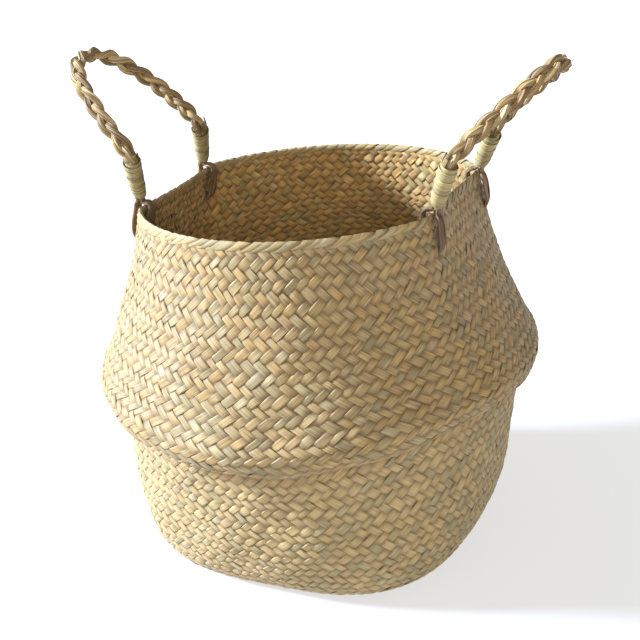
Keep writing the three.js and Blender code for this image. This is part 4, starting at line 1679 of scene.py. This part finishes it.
@dataclass
class Studio:
    """Pale floor, soft lights and the camera that sees what the photograph saw."""

    azimuth: float = 23.875
    elevation: float = 23.927
    distance: float = 906.36
    focal_pixels: float = 1481.3
    picture_pixels: float = 640.0
    sensor: float = 36.0
    nearest: float = 0.01
    aim_right: float = 2.295
    aim_height: float = 137.35
    roll: float = 4.497
    floor_half: float = 6000.0
    floor_white: float = 0.3
    floor_roughness: float = 0.9
    floor_glow: float = 0.6
    world_strength: float = 0.45
    lamps: tuple[Lamp, ...] = (
        Lamp("key", -97.0, 26.0, 11.0, 13.2, (0.84, 1.0, 1.28)),
        Lamp("fill", 0.0, 24.0, 20.0, 1.45),
    )

    def build(self) -> None:
        """Makes the floor, the world's light, the lamps and the camera."""
        self._floor()
        self._world()
        for lamp in self.lamps:
            self._lamp(lamp)
        self._camera()

    def _floor(self) -> None:
        """A wide floor just under the base, which glows a little so that its shadow stays pale."""
        corners = self.floor_half * np.array([[-1.0, -1, 0], [1, -1, 0], [1, 1, 0], [-1, 1, 0]])
        floor = make_mesh("studio_floor", corners, [np.array([[0, 1, 2, 3]])], {})
        made = bpy.data.materials.new("studio_white")
        made.use_nodes = True
        looks = {
            "Base Color": (self.floor_white, self.floor_white, self.floor_white, 1),
            "Roughness": self.floor_roughness,
            "Emission Color": (*WHITE, 1),
            "Emission Strength": self.floor_glow,
        }
        NodeBench(made.node_tree).feed(made.node_tree.nodes["Principled BSDF"], looks)
        floor.data.materials.append(made)

    def _world(self) -> None:
        """Even white light from all round."""
        world = bpy.data.worlds.new("studio_world")
        world.use_nodes = True
        looks = {"Color": (*WHITE, 1), "Strength": self.world_strength}
        NodeBench(world.node_tree).feed(world.node_tree.nodes["Background"], looks)
        bpy.context.scene.world = world

    def _lamp(self, lamp: Lamp) -> None:
        """Sets up one lamp, aimed at the object.

        Args:
            lamp: its place, size and colour.
        """
        light = bpy.data.lights.new(lamp.name, "SUN")
        light.energy = lamp.strength
        light.angle = math.radians(lamp.width)
        light.color = lamp.colour
        back = self.direction(lamp.azimuth, lamp.elevation)
        right = unit(np.cross(UP, back))
        self._put(lamp.name, light, (right, np.cross(back, right), back), back * self.distance)

    def _camera(self) -> None:
        """The camera, turned about its own line of sight by the photograph's roll."""
        back = self.direction(0, self.elevation)
        around, roll = math.radians(self.azimuth), math.radians(self.roll)
        level = np.array([math.cos(around), math.sin(around), 0.0])
        rise = np.cross(back, level)
        x = level * math.cos(roll) - rise * math.sin(roll)
        y = level * math.sin(roll) + rise * math.cos(roll)
        place = level * self.aim_right + UP * self.aim_height + back * self.distance
        data = bpy.data.cameras.new("photo_camera")
        data.sensor_width = self.sensor
        data.lens = self.focal_pixels / self.picture_pixels * self.sensor
        data.clip_start = self.nearest
        bpy.context.scene.camera = self._put("photo_camera", data, (x, y, back), place)

    def direction(self, azimuth: float, elevation: float) -> np.ndarray:
        """Direction from the object to a place.

        Args:
            azimuth: degrees, counted from the camera's own.
            elevation: degrees over the floor.

        Returns:
            A direction one long.
        """
        around, rise = math.radians(self.azimuth + azimuth), math.radians(elevation)
        level = np.array([math.sin(around), -math.cos(around), 0.0])
        return level * math.cos(rise) + UP * math.sin(rise)

    @staticmethod
    def _put(
        name: str, data: bpy.types.ID, axes: tuple[np.ndarray, ...], place: np.ndarray
    ) -> bpy.types.Object:
        """Puts a lamp or a camera into the scene.

        Args:
            name: name of the object.
            data: the light or the camera.
            axes: its three axes.
            place: where it stands, in millimetres.

        Returns:
            The object.
        """
        made = bpy.data.objects.new(name, data)
        matrix = np.eye(4)
        matrix[:3] = np.stack([*axes, place * MM], -1)
        made.matrix_world = Matrix(matrix.tolist())
        bpy.context.scene.collection.objects.link(made)
        return made


@dataclass
class Basket:
    """The whole basket: builds each sub-assembly, dresses it and sets it on its body.

    Sizes are in millimetres: how deep under the rim the slits' middles lie, two heights at the
    fold, and a depth below each handle's line of swing at its eye blades.
    """

    form: WallForm = field(default_factory=WallForm)
    slit_middle: float = 20.5
    fold_bend: Pair = (100.5, 104.5)
    eye_bend: float = 6.0

    def __post_init__(self) -> None:
        """Makes the handles' forms first, because their slits open the plait, and the materials."""
        self.handles = [PlaitedHandle(self.form, side) for side in Side]
        slits = [(handle.foot_direction(end), self.slit_middle) for handle in self.handles for end in End]
        self.weave = BladeWeave(self.form, slits)
        grain = FibreGrain()
        self.materials = {finish.name: finish.material(grain) for finish in FINISHES}

    def add(
        self, name: str, ribbons: Ribbons, finish: BladeFinish, slot: str, *nodes: str
    ) -> bpy.types.Object:
        """Makes one piece and dresses it.

        Args:
            name: name of the piece.
            ribbons: its points and attributes.
            finish: its finish.
            slot: not used.
            nodes: the CAD nodes that it stands for.

        Returns:
            The piece, which has yet to be set on its body.
        """
        piece = make_ribbons(name, *ribbons)
        piece.data.materials.append(self.materials[finish.name])
        if nodes:
            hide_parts(*nodes)
        return piece

    def build_walls(self) -> None:
        """Upper wall, fold and lower wall, each as two sets of blades that lean opposite ways."""
        form, weave = self.form, self.weave
        walls = (
            ("upper_wall", weave.top_length, form.lip_length, WALL_FINISH),
            ("belly_fold", form.lip_length, form.neck_length, WALL_FINISH),
            ("lower_wall", form.neck_length, form.end_length, LOWER_FINISH),
        )
        for lean in Lean:
            for wall, start, end, finish in walls:
                name = f"{wall}_{lean.name.lower()}_blades"
                piece = self.add(name, weave.grid(lean, start, end), finish, "wall_plait", wall)
                if wall == "belly_fold":
                    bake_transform(piece)
                else:
                    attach(piece, "upper" if wall == "upper_wall" else "lower")

    def build_rim(self) -> None:
        """The turned-over edge and the cord inside it."""
        rim = RimBorder(self.form)
        for part, ribbons in (("wraps", rim.wraps()), ("cord", rim.cord())):
            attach(self.add(f"rim_border_{part}", ribbons, RIM_FINISH, "border", "rim_border"), "upper")

    def build_base(self) -> None:
        """The plaited bottom."""
        base = BaseMat(self.form)
        for part, along_x in (("long", True), ("cross", False)):
            name = f"base_mat_{part}_blades"
            piece = self.add(name, base.ribbons(along_x), LOWER_FINISH, "base_plait", "base_mat")
            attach(piece, "lower")

    def build_handle(self, handle: PlaitedHandle) -> None:
        """One handle with its strands, and what ties each of its feet to the wall.

        Args:
            handle: the handle.
        """
        body = f"{handle.side.name.lower()}_handle"
        for number in range(handle.strands):
            node = f"{body}_strand_{number + 1}"
            finish, slot = (DARK_FINISH, "dark_strand") if number == 1 else (TAN_FINISH, "tan_strand")
            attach(self.add(f"{node}_blades", handle.strand(number), finish, slot, node), body)
        for end in End:
            self.build_foot(handle, end, body)
        LOG.info("%s: %.1f mm from foot to foot", body, handle.length)

    def build_foot(self, handle: PlaitedHandle, end: End, body: str) -> None:
        """Binding, cut ends and eye blades of one foot.

        Args:
            handle: the handle.
            end: which of its feet.
            body: the handle's body.
        """
        foot = f"{handle.side.name.lower()}_{end.name.lower()}"
        node = f"{foot}_binding"
        binding = FootBinding(handle, end)
        for part, ribbons in (("strip", binding.strip()), ("filling", binding.core())):
            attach(self.add(f"{node}_{part}", ribbons, BINDING_FINISH, "binding_strip", node), body)
        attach(self.add(f"{node}_tuft", binding.tuft(), DARK_FINISH, "dark_strand"), body)
        blades = EyeBlades(handle, end).blades()
        nodes = (f"{foot}_eye_1", f"{foot}_eye_2")
        eyes = self.add(f"{foot}_eye_blades", blades, EYE_FINISH, "eye_blade", *nodes)
        pivot = handle.pivot(end) * MM
        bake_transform(eyes)

    def build(self) -> None:
        """Builds every piece in order."""
        self.build_walls()
        self.build_rim()
        self.build_base()
        for handle in self.handles:
            self.build_handle(handle)


def main() -> None:
    """Loads the frame, builds the basket and the studio."""
    logging.basicConfig(level=logging.INFO, format="%(message)s")
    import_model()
    bpy.context.scene.view_settings.view_transform = "Standard"
    Basket().build()
    Studio().build()


if __name__ == "__main__":
    main()
